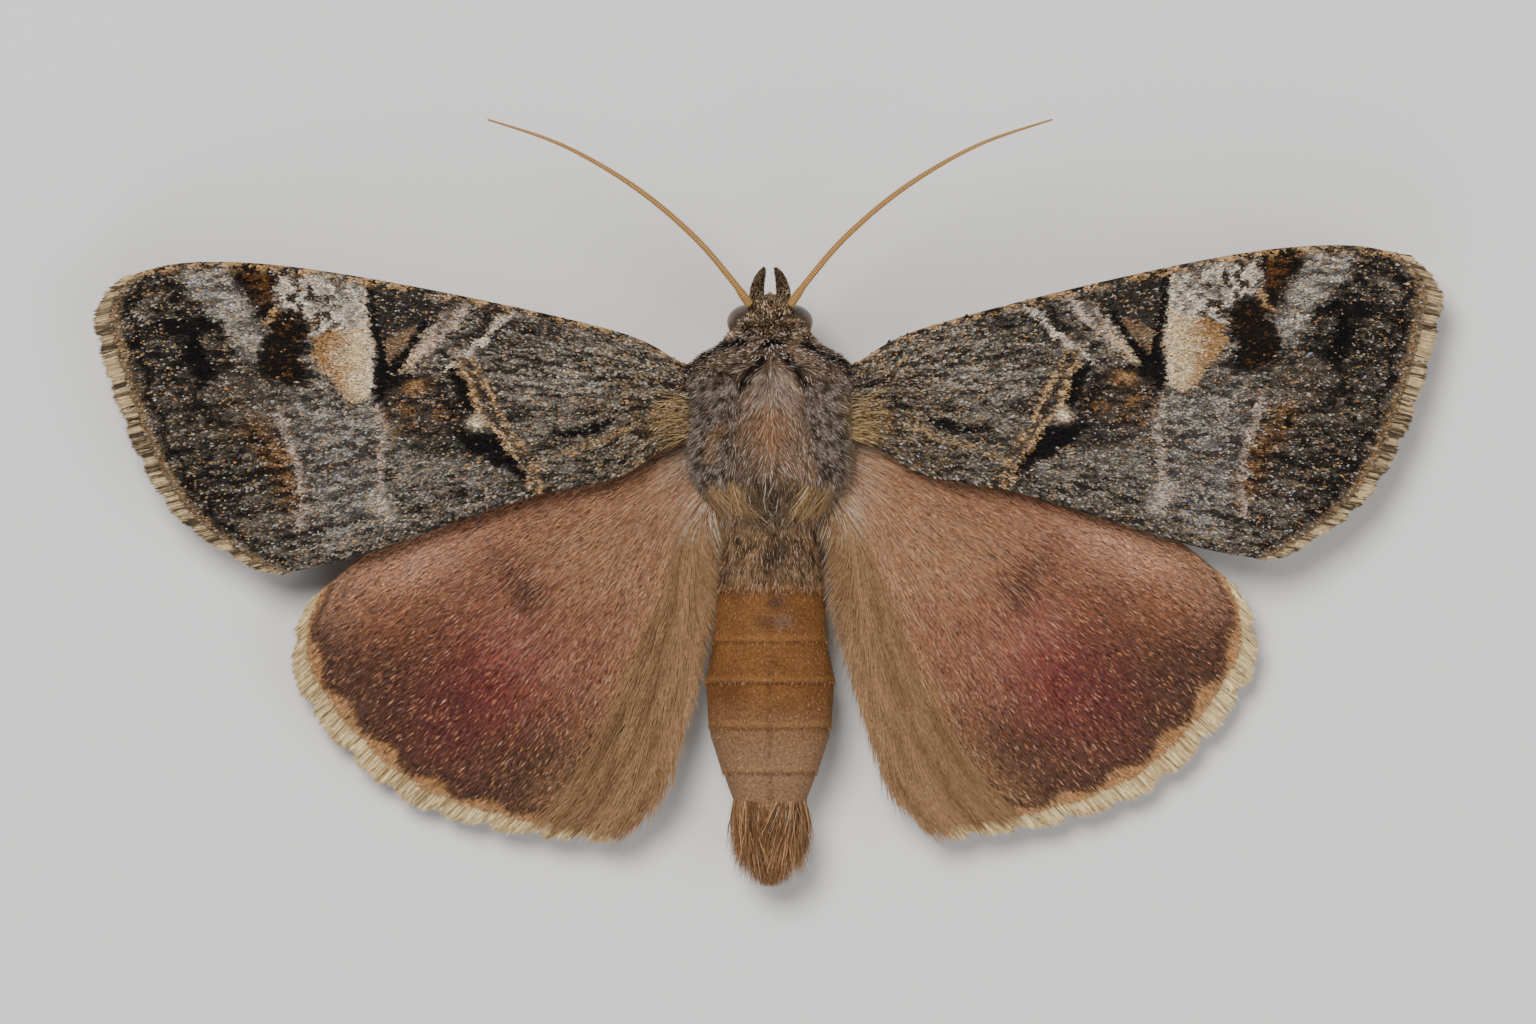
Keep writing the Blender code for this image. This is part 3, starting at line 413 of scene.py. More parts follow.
def forewing_look(flat, along, across, shape):
    """Colour over the forewing, with how freely single scales vary and how many turn tan."""
    px = to_pixels(flat)
    wobble = shaken(px, 8.0, (3, 9), 8.0, 2)
    ragged = shaken(px, 2.6, (13, 19), 7.0, 1)
    p = px + wobble + ragged
    q = px + ragged
    grain = layered(px * np.array([0.5, 1.0]), 7.0, 21)
    broad = layered(px, 60.0, 31, 2)
    streak = layered(np.column_stack([along * 46, across * 64]), 1.0, 23, 2)
    clump = noise(np.column_stack([along * 120, across * 150]), 1.0, 27)
    shade = 0.42 + 1.5 * (grain - 0.5) + 0.6 * (broad - 0.5) + 1.9 * (streak - 0.5) + 1.2 * (clump - 0.5)
    colour = mix(CHARCOAL, ASH, np.clip(shade, 0, 1))
    fleck = 0.25 + 1.1 * smooth(0.35, 0.65, streak) * smooth(0.25, 0.6, clump)
    tan = 0.02 + 0.12 * smooth(0.55, 0.75, noise(px, 6.0, 37))

    paint = Paint(colour, p, shade)

    outer = smooth(330, 190, p[:, 0])
    paint(outer, paint.span((18, 15, 12), (88, 78, 67)), 0.85)
    tan += 0.02 * outer
    base = smooth(560, 650, p[:, 0])
    paint(base, paint.span((34, 28, 22), (124, 106, 84)), 0.65)
    tan += 0.04 * base
    light = mix(srgb(96, 88, 80), srgb(186, 176, 162), np.clip(shade + 0.15, 0, 1))
    paint.area(LIGHT_BAND_PX, 7, light, 0.85)
    paint.area(GREY_BAND_PX, 16, paint.span((68, 63, 60), (158, 149, 138)), 0.7)
    paint.spot((580, 372), (88, 26), paint.span((52, 45, 39), (182, 168, 148)), 0.7, -12)
    paint.spot((430, 478), (62, 26), paint.span((36, 32, 29), (140, 130, 118)), 0.6, 10)
    paint.spot((444, 445), (40, 16), (46, 42, 40), 0.6, 10)
    paint.spot((245, 400), (44, 22), (104, 92, 78), 0.5, 30)
    paint.line(BROWN_BAND_PX, 26, 9, paint.span((46, 31, 20), (140, 102, 66)), 0.92)
    paint.line([(246, 444), (262, 470), (276, 504)], 7, 5, SOOT, 0.6)
    paint.line(PALE_LINE_PX, 6, 3, PINK_GREY, 0.85)
    paint.line(VERTICAL_PALE_PX, 5, 3, PINK_GREY, 0.75)
    paint.line([(378, 502), (394, 516)], 16, 9, CHALK, 0.5)
    paint.area(UMBER_PATCH_PX, 2.5, UMBER, 0.97)
    paint(area_mask(p, UMBER_PATCH_PX, 5) * smooth(0.66, 0.84, noise(px, 3.0, 44)), (110, 72, 36), 0.45)
    paint(area_mask(p, RUST_GLOW_PX, 4) * smooth(0.4, 0.6, noise(px, 5.0, 45)), RUST, 0.5)
    paint.line([(279, 307), (275, 318), (268, 322)], 5, 2.5, TAN, 0.7)
    streaks = smooth(0.4, 0.62, noise(px * np.array([0.8, 0.5]), 4.5, 5))
    paint.area(PALE_COSTA_PX, 3, mix(CHALK, srgb(56, 47, 40), 1 - streaks), 0.92)
    paint.spot((358, 304), (15, 24), CHALK, 0.55)
    paint.area(DARK_STREAK_PX, 4, SOOT, 0.75)
    paint.line([(300, 284), (316, 290), (330, 288)], 4, 3, SOOT, 0.5)
    proximal = smooth(322, 372, p[:, 0])
    block = mix(SAND, CREAM, np.clip(proximal + 0.9 * (streak - 0.5) + 0.4 * (grain - 0.5), 0, 1))
    paint.area(CREAM_BLOCK_PX, 2.5, block, 0.98)
    paint.line([(322, 342), (326, 356), (340, 376), (352, 392)], 5, 3, (150, 112, 72), 0.6)
    paint(line_mask(q, CREAM_EDGE_PX, 6, 3), PALE_CREAM, 0.7)
    paint.area(COSTA_DARK_PX, 4, (44, 38, 34), 0.85)
    paint.area(TRIANGLE_PX, 3, (124, 98, 74), 0.85)
    paint(area_mask(q, WEDGE_PX, 1.6), BLACK, 0.98)
    wedge = mix(srgb(206, 176, 138), PINK_GREY, smooth(405, 445, p[:, 0]))
    paint.area(CREAM_WEDGE_PX, 2.5, wedge, 0.92)
    paint.area(RUST_AREA_PX, 7, mix(srgb(26, 21, 18), srgb(84, 70, 58), np.clip(shade + 0.05, 0, 1)), 0.88)
    paint.spot((419, 388), (11, 6), (176, 130, 88), 0.85, -20)
    ring = np.abs(np.hypot((p[:, 0] - 404) / 15, (p[:, 1] - 419) / 11) - 1)
    gold = smooth(0.45, 0.65, noise(px, 3.0, 68))
    paint(np.exp(-((ring / 0.24) ** 2)) * gold, (142, 98, 54), 0.7)
    paint(spot_mask(p, (448, 414), (12, 10)) * gold, (142, 98, 54), 0.6)
    paint.line([(446, 392), (456, 410), (452, 424)], 9, 4, BLACK, 0.75)
    for bar in DARK_COSTA_BARS_PX:
        paint.line(bar, 8, 4, SOOT, 0.8)
    paint.line([(560, 322), (545, 342)], 10, 7, SOOT, 0.4)
    paint.line(WHITE_DIAGONAL_PX, 5.5, 2.5, CHALK, 0.95)
    paint.line(BETWEEN_LINES_PX, 16, 4, (58, 48, 40), 0.8)
    paint.area(BLACK_UPPER_PX, 2.5, BLACK, 0.97)
    paint.area(BLACK_LOWER_PX, 2.5, BLACK, 0.97)
    beads = smooth(0.3, 0.6, noise(px, 5.0, 66))
    paint.line(OUTER_LINE_PX, 5, 2, mix(srgb(120, 92, 62), srgb(214, 176, 130), beads), 0.85)
    paint.line(INNER_LINE_PX, 5, 2, mix(srgb(78, 62, 46), srgb(196, 158, 112), beads), 0.8)
    paint(spot_mask(px, WHITE_SPOT_PX, (7, 5.5), -20), PALE_CREAM, 1.4)
    paint.line(BASAL_DASH_PX, 8, 2.5, BLACK, 0.97)
    paint.line([(560, 424), (586, 421), (612, 414)], 3, 2, (150, 132, 112), 0.6)
    paint.line(TAN_ROW_PX, 4, 2, (176, 144, 104), 0.6)
    paint.line(CELL_LINE_PX, 3, 2.5, SOOT, 0.5)
    paint.spot(TAN_BASE_PX, (20, 16), mix(srgb(104, 84, 58), srgb(178, 146, 102), grain), 0.75, -30)
    blotch = 0.75 + 0.25 * smooth(0.3, 0.5, noise(px, 7.0, 67))
    paint.area(BLACK_SPOT_PX, 2, BLACK, blotch)
    paint.area(LOWER_SPOT_PX, 2, BLACK, blotch)
    paint.line([(150, 317), (166, 318)], 6, 3, SOOT, 0.8)
    paint.line(ZIGZAG_PX, 7, 2.5, BLACK, 0.92)
    paint.line([(257, 438), (268, 448), (282, 474)], 4, 2.5, BLACK, 0.6)
    paint.line([(219, 320), (226, 334), (221, 352)], 6, 3, SOOT, 0.7)
    calm = area_mask(px, CREAM_BLOCK_PX, 6)
    black = np.maximum.reduce(
        [area_mask(p, outline, 3) for outline in (WEDGE_PX, BLACK_SPOT_PX, LOWER_SPOT_PX, UMBER_PATCH_PX,
                                                  BLACK_UPPER_PX, BLACK_LOWER_PX)]
        + [line_mask(p, line, 7, 3) for line in (ZIGZAG_PX, BASAL_DASH_PX, WHITE_DIAGONAL_PX)]
    )
    fleck *= (1 - 0.45 * calm) * (1 - 0.93 * black)
    tan *= 1 - 0.8 * black
    # Veins, margin line and the fleck rows along the costa and termen.
    ridge, _ = vein_nearness(shape, across)
    outer_part = smooth(0.66, 0.84, along)
    paint(ridge * outer_part * (1 - smooth(0.93, 0.95, along)), SOOT, 0.75)
    wave = 0.006 * np.cos(across * 2 * math.pi * 8)
    margin = np.exp(-(((along - 0.94 - wave) / 0.006) ** 2))
    paint(margin, BLACK, 0.95)
    fleck *= 1 - 0.8 * margin
    paint(smooth(0.952, 0.962, along), mix(srgb(96, 78, 60), srgb(150, 122, 88), noise(px, 5.0, 62)), 0.8)
    edge = np.exp(-((across / 0.022) ** 2)) * smooth(0.04, 0.12, along)
    dashes = smooth(0.45, 0.62, noise(px, 5.0, 61))
    paint(edge, mix(SOOT, TAN, dashes), 0.85)
    tan += 0.1 * edge
    return paint.colour, fleck, tan


# Hindwing colours and places, in photo pixels of the left wing.
H_BROWN = srgb(136, 90, 68)
H_ROSE = srgb(122, 62, 56)
H_DARK = srgb(78, 54, 43)
H_TAN = srgb(158, 120, 84)
H_COSTA = srgb(186, 138, 110)
H_LINE = srgb(178, 134, 90)
ROSE_PX = (486, 690)
SMUDGE_PX = (530, 592)


def hindwing_look(flat, along, across, shape):
    """Colour over the hindwing, with how freely single scales vary and how many are light."""
    px = to_pixels(flat)
    p = px + shaken(px, 14.0, (73, 79), 16.0)
    grain = layered(np.column_stack([along * 60, across * 260]), 4.0, 81)
    colour = mix(H_BROWN * 0.88, H_BROWN * 1.14, grain)

    paint = Paint(colour, p)

    paint(smooth(0.52, 0.86, along), H_DARK, 0.9)
    paint.spot((600, 560), (90, 50), (156, 116, 86), 0.7, 20)
    paint.spot((410, 560), (92, 34), H_COSTA, 0.9, -30)
    paint.spot((392, 612), (44, 36), (138, 88, 62), 0.6)
    paint.spot((566, 660), (40, 60), (142, 96, 76), 0.55, 20)
    paint.spot(ROSE_PX, (52, 72), H_ROSE, 0.95, 28)
    paint.spot((452, 705), (36, 44), (92, 52, 46), 0.7, 30)
    paint.spot((520, 640), (40, 26), (148, 92, 80), 0.5, 40)
    paint.spot((545, 780), (90, 44), (88, 62, 48), 0.8, 8)
    paint(np.exp(-((across / 0.07) ** 2)), (166, 126, 96), 0.5)
    paint.spot(SMUDGE_PX, (24, 16), (70, 48, 40), 0.8, 40)
    paint.spot((514, 568), (32, 14), (96, 66, 54), 0.6, 40)
    near = 1 - smooth(0.1, 0.5, along)
    paint(near, (164, 126, 94), 0.6)
    paint(smooth(0.68, 0.9, across), H_TAN, 0.8)
    paint(smooth(0.88, 1.0, across), (164, 130, 90), 0.8)
    away = smooth(0.96, 0.84, across)
    lobes = 0.011 * np.cos((across - 0.1) * 2 * math.pi * 7.7)
    edge = along - 0.938 - lobes
    paint(smooth(-0.035, -0.01, edge) * away, (78, 54, 43), 0.6)
    dots = mix(srgb(150, 104, 66), H_LINE, noise(in_a_row(across * 160), 1.0, 63))
    paint(smooth(-0.003, 0.003, edge) * smooth(0.99, 0.9, across), dots, 0.95)
    fleck = np.full(len(px), 0.55)
    tan = np.full(len(px), 0.07)
    return paint.colour, fleck, tan


def fresh_mesh(name, verts, faces, colours=None, uv=None, smooth_shade=True):
    """An object from arrays in millimetres; faces are an (N, 3) or (N, 4) array."""
    mesh = bpy.data.meshes.new(name)
    count, corners = faces.shape
    mesh.vertices.add(len(verts))
    mesh.vertices.foreach_set("co", ((verts + SHIFT) * MM).astype(np.float32).ravel())
    mesh.loops.add(count * corners)
    mesh.loops.foreach_set("vertex_index", faces.astype(np.int32).ravel())
    mesh.polygons.add(count)
    mesh.polygons.foreach_set("loop_start", np.arange(0, count * corners, corners, dtype=np.int32))
    mesh.polygons.foreach_set("loop_total", np.full(count, corners, dtype=np.int32))
    mesh.update(calc_edges=True)
    mesh.polygons.foreach_set("use_smooth", np.full(count, smooth_shade, dtype=bool))
    if colours is not None:
        layer = mesh.color_attributes.new("coat_colour", "FLOAT_COLOR", "POINT")
        rgba = np.column_stack([np.clip(colours, 0.0, 1.0), np.ones(len(verts))])
        layer.data.foreach_set("color", rgba.astype(np.float32).ravel())
    if uv is not None:
        layer = mesh.uv_layers.new(name="OFBake")
        layer.data.foreach_set("uv", uv[faces.ravel()].astype(np.float32).ravel())
    obj = bpy.data.objects.new(name, mesh)
    bpy.context.scene.collection.objects.link(obj)
    return obj


# The solids are centred over their own box, so one eye's place gives the shift between the frames.
EYE_Y = -5.6
_left, _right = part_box("eye_left"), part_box("eye_right")
SHIFT = np.array([(_left[0].x + _right[1].x) / 2 / MM, (_left[0].y + _left[1].y) / 2 / MM - EYE_Y, 0.0])

PATCH = 0.0015


def flat_scales(name, root, ahead, up, length, width, colour, uv_root, lift, belly=0.6):
    """Thin closed scales: four corners that look like a kite from above, rising a little to the tip."""
    side = unit(np.cross(up, ahead))
    length, width, lift = length[:, None], width[:, None], lift[:, None]
    middle = root + ahead * length * belly + up * (lift * belly + 0.012)
    tip = root + ahead * length + up * lift
    corners = [root - up * 0.02, middle + side * width / 2, tip, middle - side * width / 2]
    verts = np.stack(corners, axis=1).reshape(-1, 3)
    count = len(root)
    pattern = np.array([[0, 3, 1], [1, 3, 2], [0, 1, 2], [0, 2, 3]])
    faces = (pattern[None] + np.arange(count)[:, None, None] * 4).reshape(-1, 3)
    # Painted shade and light: each scale's root corner, tucked under its neighbours, is darkened to 0.8, and
    # its raised tip is lightened to 1.1.
    shade = np.array([0.8, 1.0, 1.1, 1.0])[None, :, None]
    colours = (colour[:, None] * shade).reshape(-1, 3)
    corner = np.array([[0.0, -1.0], [-1.0, 0.0], [0.0, 1.0], [1.0, 0.0]]) * PATCH
    uv = (uv_root[:, None] + corner[None]).reshape(-1, 2)
    return fresh_mesh(name, verts, faces, colours, uv, smooth_shade=False)


def hair_tufts(name, root, path, side, width, colour, uv_root, tip_painted_light=1.15):
    """Closed tapered tufts: three-sided rings at the root and along path, then a tip.

    path is (N, K, 3): the points after the root, the last of them the tip.
    """
    count, steps = path.shape[:2]
    points = np.concatenate([root[:, None], path], axis=1)
    rings = []
    ring_painted_shade = []
    for step in range(steps):
        along, across = laid(points[:, step + 1] - points[:, step], side)
        upward = np.cross(across, along)
        share = 1.0 - 0.55 * step / steps
        half = (width * share / 2)[:, None]
        rings += [
            points[:, step] + across * half,
            points[:, step] + upward * half * 0.6,
            points[:, step] - across * half,
        ]
        # Painted shade: rings are darker the nearer they lie to the root, down in the coat. The tip is
        # lightened by its own factor as painted light.
        ring_painted_shade += [0.72 + 0.3 * step / steps] * 3
    verts = np.stack(rings + [points[:, -1]], axis=1)
    per = 3 * steps + 1
    pattern = [[0, 2, 1]]
    for step in range(steps - 1):
        a = 3 * step
        for i in range(3):
            j = (i + 1) % 3
            pattern += [[a + i, a + j, a + 3 + j], [a + i, a + 3 + j, a + 3 + i]]
    a = 3 * (steps - 1)
    pattern += [[a + i, a + (i + 1) % 3, per - 1] for i in range(3)]
    faces = (np.array(pattern)[None] + np.arange(count)[:, None, None] * per).reshape(-1, 3)
    shade = np.array(ring_painted_shade + [tip_painted_light])[None, :, None]
    colours = (colour[:, None] * shade).reshape(-1, 3)
    turn = np.linspace(0, 2 * math.pi, per, endpoint=False)
    corner = np.column_stack([np.cos(turn), np.sin(turn)]) * PATCH
    uv = (uv_root[:, None] + corner[None]).reshape(-1, 2)
    return fresh_mesh(name, verts.reshape(-1, 3), faces, colours, uv, smooth_shade=False)


FLECKS = {
    "forewing": {"spread": 0.36, "pale": 0.12, "light": (192, 184, 170), "tan": (184, 138, 88), "dark": 0.26},
    "hindwing": {"spread": 0.28, "pale": 0.05, "light": (206, 160, 124), "tan": (182, 126, 90), "dark": 0.2},
}


def flecked(colour, fleck, tan, rng, kind):
    """Varies single scales: some pale, some tan, some dark, the rest a little lighter or darker."""
    spec = FLECKS[kind]
    count = len(colour)
    draw = rng.random(count)
    spread = spec["spread"] * (0.35 + 0.65 * np.clip(fleck, 0, 1))
    brightness = np.exp(rng.normal(0.0, 1.0, count) * spread - spread**2 * 0.5)[:, None]
    result = colour * np.clip(brightness, 0.25, 2.6)
    share = spec["pale"] * fleck
    pale = draw < share
    result[pale] = mix(result[pale], srgb(*spec["light"]), rng.uniform(0.15, 0.75, pale.sum()))
    tanned = (draw >= share) & (draw < share + tan)
    result[tanned] = mix(result[tanned], srgb(*spec["tan"]), rng.uniform(0.15, 0.85, tanned.sum()))
    dark = draw > 1 - spec["dark"] * np.clip(fleck, 0, 1)
    result[dark] *= 0.42
    warm = rng.normal(0.0, 0.12, count)[:, None]
    return result * (1 + warm * np.array([0.7, 0.0, -1.0]))


def spread_over(weights, count, rng):
    """Cell numbers drawn evenly by weight, without clumps."""
    total = np.cumsum(weights)
    wanted = (np.arange(count) + rng.random(count)) / count * total[-1]
    return np.searchsorted(total, wanted)


CELLS = (240, 120)


def wing_spots(shape, count, rng, last=1.0):
    """Even places over a wing, as shares along and across it."""
    u = (np.arange(CELLS[0]) + 0.5) / CELLS[0] * last
    v = (np.arange(CELLS[1]) + 0.5) / CELLS[1]
    uu, vv = np.meshgrid(u, v, indexing="ij")
    uu, vv = uu.ravel(), vv.ravel()
    step_u, step_v = 0.5 * last / CELLS[0], 0.5 / CELLS[1]
    du = wing_flat(shape, uu + step_u, vv) - wing_flat(shape, uu - step_u, vv)
    dv = wing_flat(shape, uu, vv + step_v) - wing_flat(shape, uu, vv - step_v)
    area = np.abs(du[:, 0] * dv[:, 1] - du[:, 1] * dv[:, 0])
    cell = spread_over(area, count, rng)
    along = uu[cell] + rng.uniform(-step_u, step_u, count)
    across = vv[cell] + rng.uniform(-step_v, step_v, count)
    return np.clip(along, 0, last), np.clip(across, 0, 1)


def wing_uv(shape, along, across, under):
    flat = wing_flat(shape, along, across)
    u = (flat[:, 0] - 1.0) / 20.0
    v = (flat[:, 1] + 8.0) / 19.0 * 0.48
    return np.column_stack([0.01 + 0.98 * u, (0.51 if under else 0.01) + v])


def outward(shape, side, along, across, rng, spread_deg):
    """The direction of scales: away from the root, along the wing, each turned a little."""
    step = 0.01
    here = wing_place(shape, side, np.clip(along, 0, 0.985), across, 0.0)
    there = wing_place(shape, side, np.clip(along, 0, 0.985) + step, across, 0.0)
    ahead = unit(there - here)
    turn = rng.normal(0.0, math.radians(spread_deg), len(along))
    x = ahead[:, 0] * np.cos(turn) - ahead[:, 1] * np.sin(turn)
    y = ahead[:, 0] * np.sin(turn) + ahead[:, 1] * np.cos(turn)
    return np.column_stack([x, y, ahead[:, 2]])


def underside(colour):
    """The paler, plainer markings below."""
    pale = srgb(150, 130, 110)
    return mix(colour, pale * np.ones_like(colour), np.full(len(colour), 0.6))


LOOKS = {"forewing": (FOREWING, forewing_look), "hindwing": (HINDWING, hindwing_look)}
SCALES = {
    "forewing": {"pieces": 2, "count": 24000, "length": 0.155, "width": 0.048, "belly": 0.72, "spread": 15,
                 "under": 4500},
    "hindwing": {"pieces": 1, "count": 28000, "length": 0.25, "width": 0.036, "belly": 0.5, "spread": 7,
                 "under": 4500},
}
UNDER_SIZE = 1.9
UNDER_EDGE = 0.03
TOP_EDGE = 0.008


def wing_scales(kind, side, material):
    shape, look = LOOKS[kind]
    spec = SCALES[kind]
    rng = np.random.default_rng({"left": 100, "right": 200}[side] + len(kind))
    layers = ["under"] + [f"top_{number}" for number in range(spec["pieces"])]
    for layer in layers:
        under = layer == "under"
        count = spec["under"] if under else spec["count"]
        along, across = wing_spots(shape, count, rng, shape["membrane_end"])
        flat = wing_flat(shape, along, across)
        colour, fleck, tan = look(flat, along, across, shape)
        edge_width = UNDER_EDGE if under else TOP_EDGE
        across = edge_width + (1 - 2 * edge_width) * across
        if under:
            colour = underside(colour)
        colour = flecked(colour, fleck, tan, rng, kind)
        height = SKIN_HALF_THICKNESS * (1 - 0.6 * smooth(0.9, 1.0, along)) + SCALE_LIFT
        root = wing_place(shape, side, along, across, -height if under else height)
        ahead = outward(shape, side, along, across, rng, spec["spread"])
        up = np.zeros_like(root)
        up[:, 2] = -1.0 if under else 1.0
        size = (UNDER_SIZE if under else 1.0) * np.exp(rng.normal(0, 0.18, count))
        lift = rng.uniform(0.015, 0.06, count)
        uv = wing_uv(shape, along, across, under)
        obj = flat_scales(f"{kind}_{side}_scales_{layer}", root, ahead, up, spec["length"] * size,
                          spec["width"] * size, colour, uv, lift, spec["belly"])
        dress(obj, material)


def scallop_reach(shape, across):
    """How far the fringe stands out: most between the veins."""
    _, nearest = vein_nearness(shape, across)
    return shape["scallop"] * (smooth(0.0, 0.03, nearest) - 0.55)


FRINGE_CLUMP = 9
FRINGE_WIDTH = 0.036
FRINGES = {"forewing": {"count": 7000, "last": 1.0}, "hindwing": {"count": 9500, "last": 0.985}}


def wing_fringe(kind, side, material):
    """Rows of long narrow scales past the membrane: short tan ones over long pale ones."""
    shape, _ = LOOKS[kind]
    spec = FRINGES[kind]
    rng = np.random.default_rng({"left": 300, "right": 400}[side] + len(kind))
    count = spec["count"]
    across = spec["last"] * (np.arange(count) + rng.random(count)) / count
    short = rng.random(count) < (0.3 if kind == "forewing" else 0.42)
    along = shape["membrane_end"] - np.where(short, 0.014, rng.uniform(0.002, 0.01, count))
    root = wing_place(shape, side, along, across, 0.0)
    root[:, 2] += np.where(short, 0.07, rng.uniform(-0.06, 0.05, count))
    clump = (np.arange(count) // FRINGE_CLUMP).astype(float)
    clump_length = 0.9 + 0.22 * noise(in_a_row(clump), 1.0, 47)
    ahead = outward(shape, side, np.full(count, 0.96), across, rng, 2)
    lean = 0.12 * (noise(in_a_row(clump), 1.0, 43) - 0.5)
    ahead = ahead + np.column_stack([-ahead[:, 1], ahead[:, 0], ahead[:, 2] * 0]) * lean[:, None]
    reach = wing_place(shape, side, np.full(count, 1.0), across, 0.0) - root
    distance = np.linalg.norm(reach, axis=1) + scallop_reach(shape, across)
    length = np.maximum(0.12, distance * clump_length * np.clip(rng.normal(0.97, 0.04, count), 0.6, 1.06))
    length *= 1 - 0.45 * smooth(0.97, 1.0, across) * (kind == "forewing")
    length = np.where(short, length * rng.uniform(0.35, 0.5, count), length)
    up = np.tile(UP, (count, 1))
    strand = np.repeat(rng.random(count // FRINGE_CLUMP + 1), FRINGE_CLUMP)[:count]
    edge_strand = np.arange(count) % FRINGE_CLUMP == 0
    if kind == "forewing":
        checker = smooth(0.35, 0.65, noise(in_a_row(across * 120), 1.0, 9))
        tone = np.clip(0.75 * checker + 0.7 * (strand - 0.5) + rng.normal(0.05, 0.15, count), 0, 1)
        colour = mix(srgb(70, 56, 42), srgb(206, 178, 134), tone)
        colour[short] = mix(srgb(66, 54, 44), srgb(150, 120, 86), rng.random(short.sum()))
    else:
        tone = np.clip(strand + rng.normal(0, 0.15, count), 0, 1)
        colour = mix(srgb(166, 132, 84), srgb(238, 214, 162), tone)
        colour[edge_strand] *= 0.4
        colour[short] = mix(srgb(112, 78, 50), srgb(196, 152, 104), rng.random(short.sum()))
        inner = smooth(0.93, 1.0, across) * 0.6
        colour = mix(colour, srgb(196, 160, 116) * np.ones_like(colour), inner)
    uv = wing_uv(shape, along, across, False)
    width = FRINGE_WIDTH * np.exp(rng.normal(0, 0.2, count))
    lift = np.where(short, -0.02, rng.normal(0.0, 0.03, count))
    obj = flat_scales(f"{kind}_{side}_fringe", root, ahead, up, length, width, colour, uv, lift, 0.78)
    dress(obj, material)


def arched(root, reach, lift, bow=0.0):
    """Two points for each hair: its lifted middle, and its tip half as high."""
    middle, tip = root + reach * 0.5 + UP * lift + bow, root + reach + UP * lift * 0.5 + bow * 0.5
    return np.stack([middle, tip], axis=1)


HIND_HAIR = {"margin": 5200, "surface": 4600}


def hindwing_hair(side, material):
    """Long hair down the inner margin, and finer hair fanning out over the wing from its root."""
    shape = HINDWING
    rng = np.random.default_rng({"left": 500, "right": 600}[side])
    sign = 1.0 if side == "left" else -1.0
    for part, count in HIND_HAIR.items():
        if part == "margin":
            along = 0.01 + 0.93 * rng.random(count) ** 0.95
            across = 1.0 - 0.2 * rng.random(count) ** 1.4
            length = rng.uniform(0.8, 1.7, count) * (1.0 - 0.3 * along)
            near_root = smooth(0.9, 1.0, across) * smooth(0.5, 0.15, along)
            inward = 0.2 * smooth(0.86, 1.0, across) + 0.5 * near_root
        else:
            along = 0.02 + 0.62 * rng.random(count) ** 1.2
            across = 0.12 + 0.72 * rng.random(count)
            length = rng.uniform(0.35, 0.8, count) * (1.0 + 0.6 * smooth(0.25, 0.05, along))
            inward = np.zeros(count)
        root = wing_place(shape, side, along, across, SKIN_HALF_THICKNESS + 0.01)
        ahead = outward(shape, side, along, across, rng, 5)
        ahead[:, 0] -= sign * inward
        ahead = unit(ahead)
        lift = rng.uniform(0.04, 0.16 if part == "margin" else 0.07, count)[:, None]
        reach = length[:, None]
        aside = np.cross(ahead, UP)
        bow = (rng.normal(0, 0.04, (count, 1)) + (0.12 * sign * inward[:, None])) * aside
        path = arched(root, ahead * reach, lift, bow)
        clump = noise(np.column_stack([along * 9, across * 46]), 1.0, 51)
        tone = np.clip(0.75 * clump + 0.4 * rng.random(count), 0, 1)
        base = mix(srgb(108, 79, 54), srgb(172, 134, 96), tone)
        flat = wing_flat(shape, along, across)
        local, _, _ = hindwing_look(flat, along, across, shape)
        if part == "surface":
            light = rng.random(count) < 0.3
            base = local * np.exp(rng.normal(0.05, 0.22, count))[:, None]
            base[light] = mix(base[light], srgb(206, 168, 132), rng.uniform(0.3, 0.8, light.sum()))
        near = 1 - smooth(0.05, 0.18, along)
        pale = near * (rng.random(count) < 0.4)
        base = mix(base, srgb(206, 190, 170) * np.ones_like(base), pale * 0.7)
        uv = wing_uv(shape, along, across, False)
        width = rng.uniform(0.026, 0.044, count) if part == "margin" else rng.uniform(0.018, 0.03, count)
        # The last factor is the painted light on each hair's tip.
        obj = hair_tufts(f"hindwing_{side}_hair_{part}", root, path, aside, width, base, uv, 1.15)
        dress(obj, material)


def forewing_base_hair(side, material):
    """Tan hair over the forewing's root, from the thorax outwards."""
    shape = FOREWING
    rng = np.random.default_rng({"left": 520, "right": 620}[side])
    count = COUNTS["forewing_root_hair"]
    along = 0.02 + 0.09 * rng.random(count) ** 1.5
    across = 1.0 - 0.6 * rng.random(count) ** 1.4
    root = wing_place(shape, side, along, across, SKIN_HALF_THICKNESS + 0.02)
    ahead = outward(shape, side, along, across, rng, 12)
    length = rng.uniform(0.25, 0.55, count)[:, None]
    lift = rng.uniform(0.05, 0.16, count)[:, None]
    path = arched(root, ahead * length, lift)
    colour = mix(srgb(112, 88, 58), srgb(196, 164, 116), rng.random(count))
    uv = wing_uv(shape, along, across, False)
    # The last factor is the painted light on each hair's tip.
    obj = hair_tufts(f"forewing_{side}_base_hair", root, path, np.cross(ahead, UP),
                     rng.uniform(0.025, 0.04, count), colour, uv, 1.1)
    dress(obj, material)


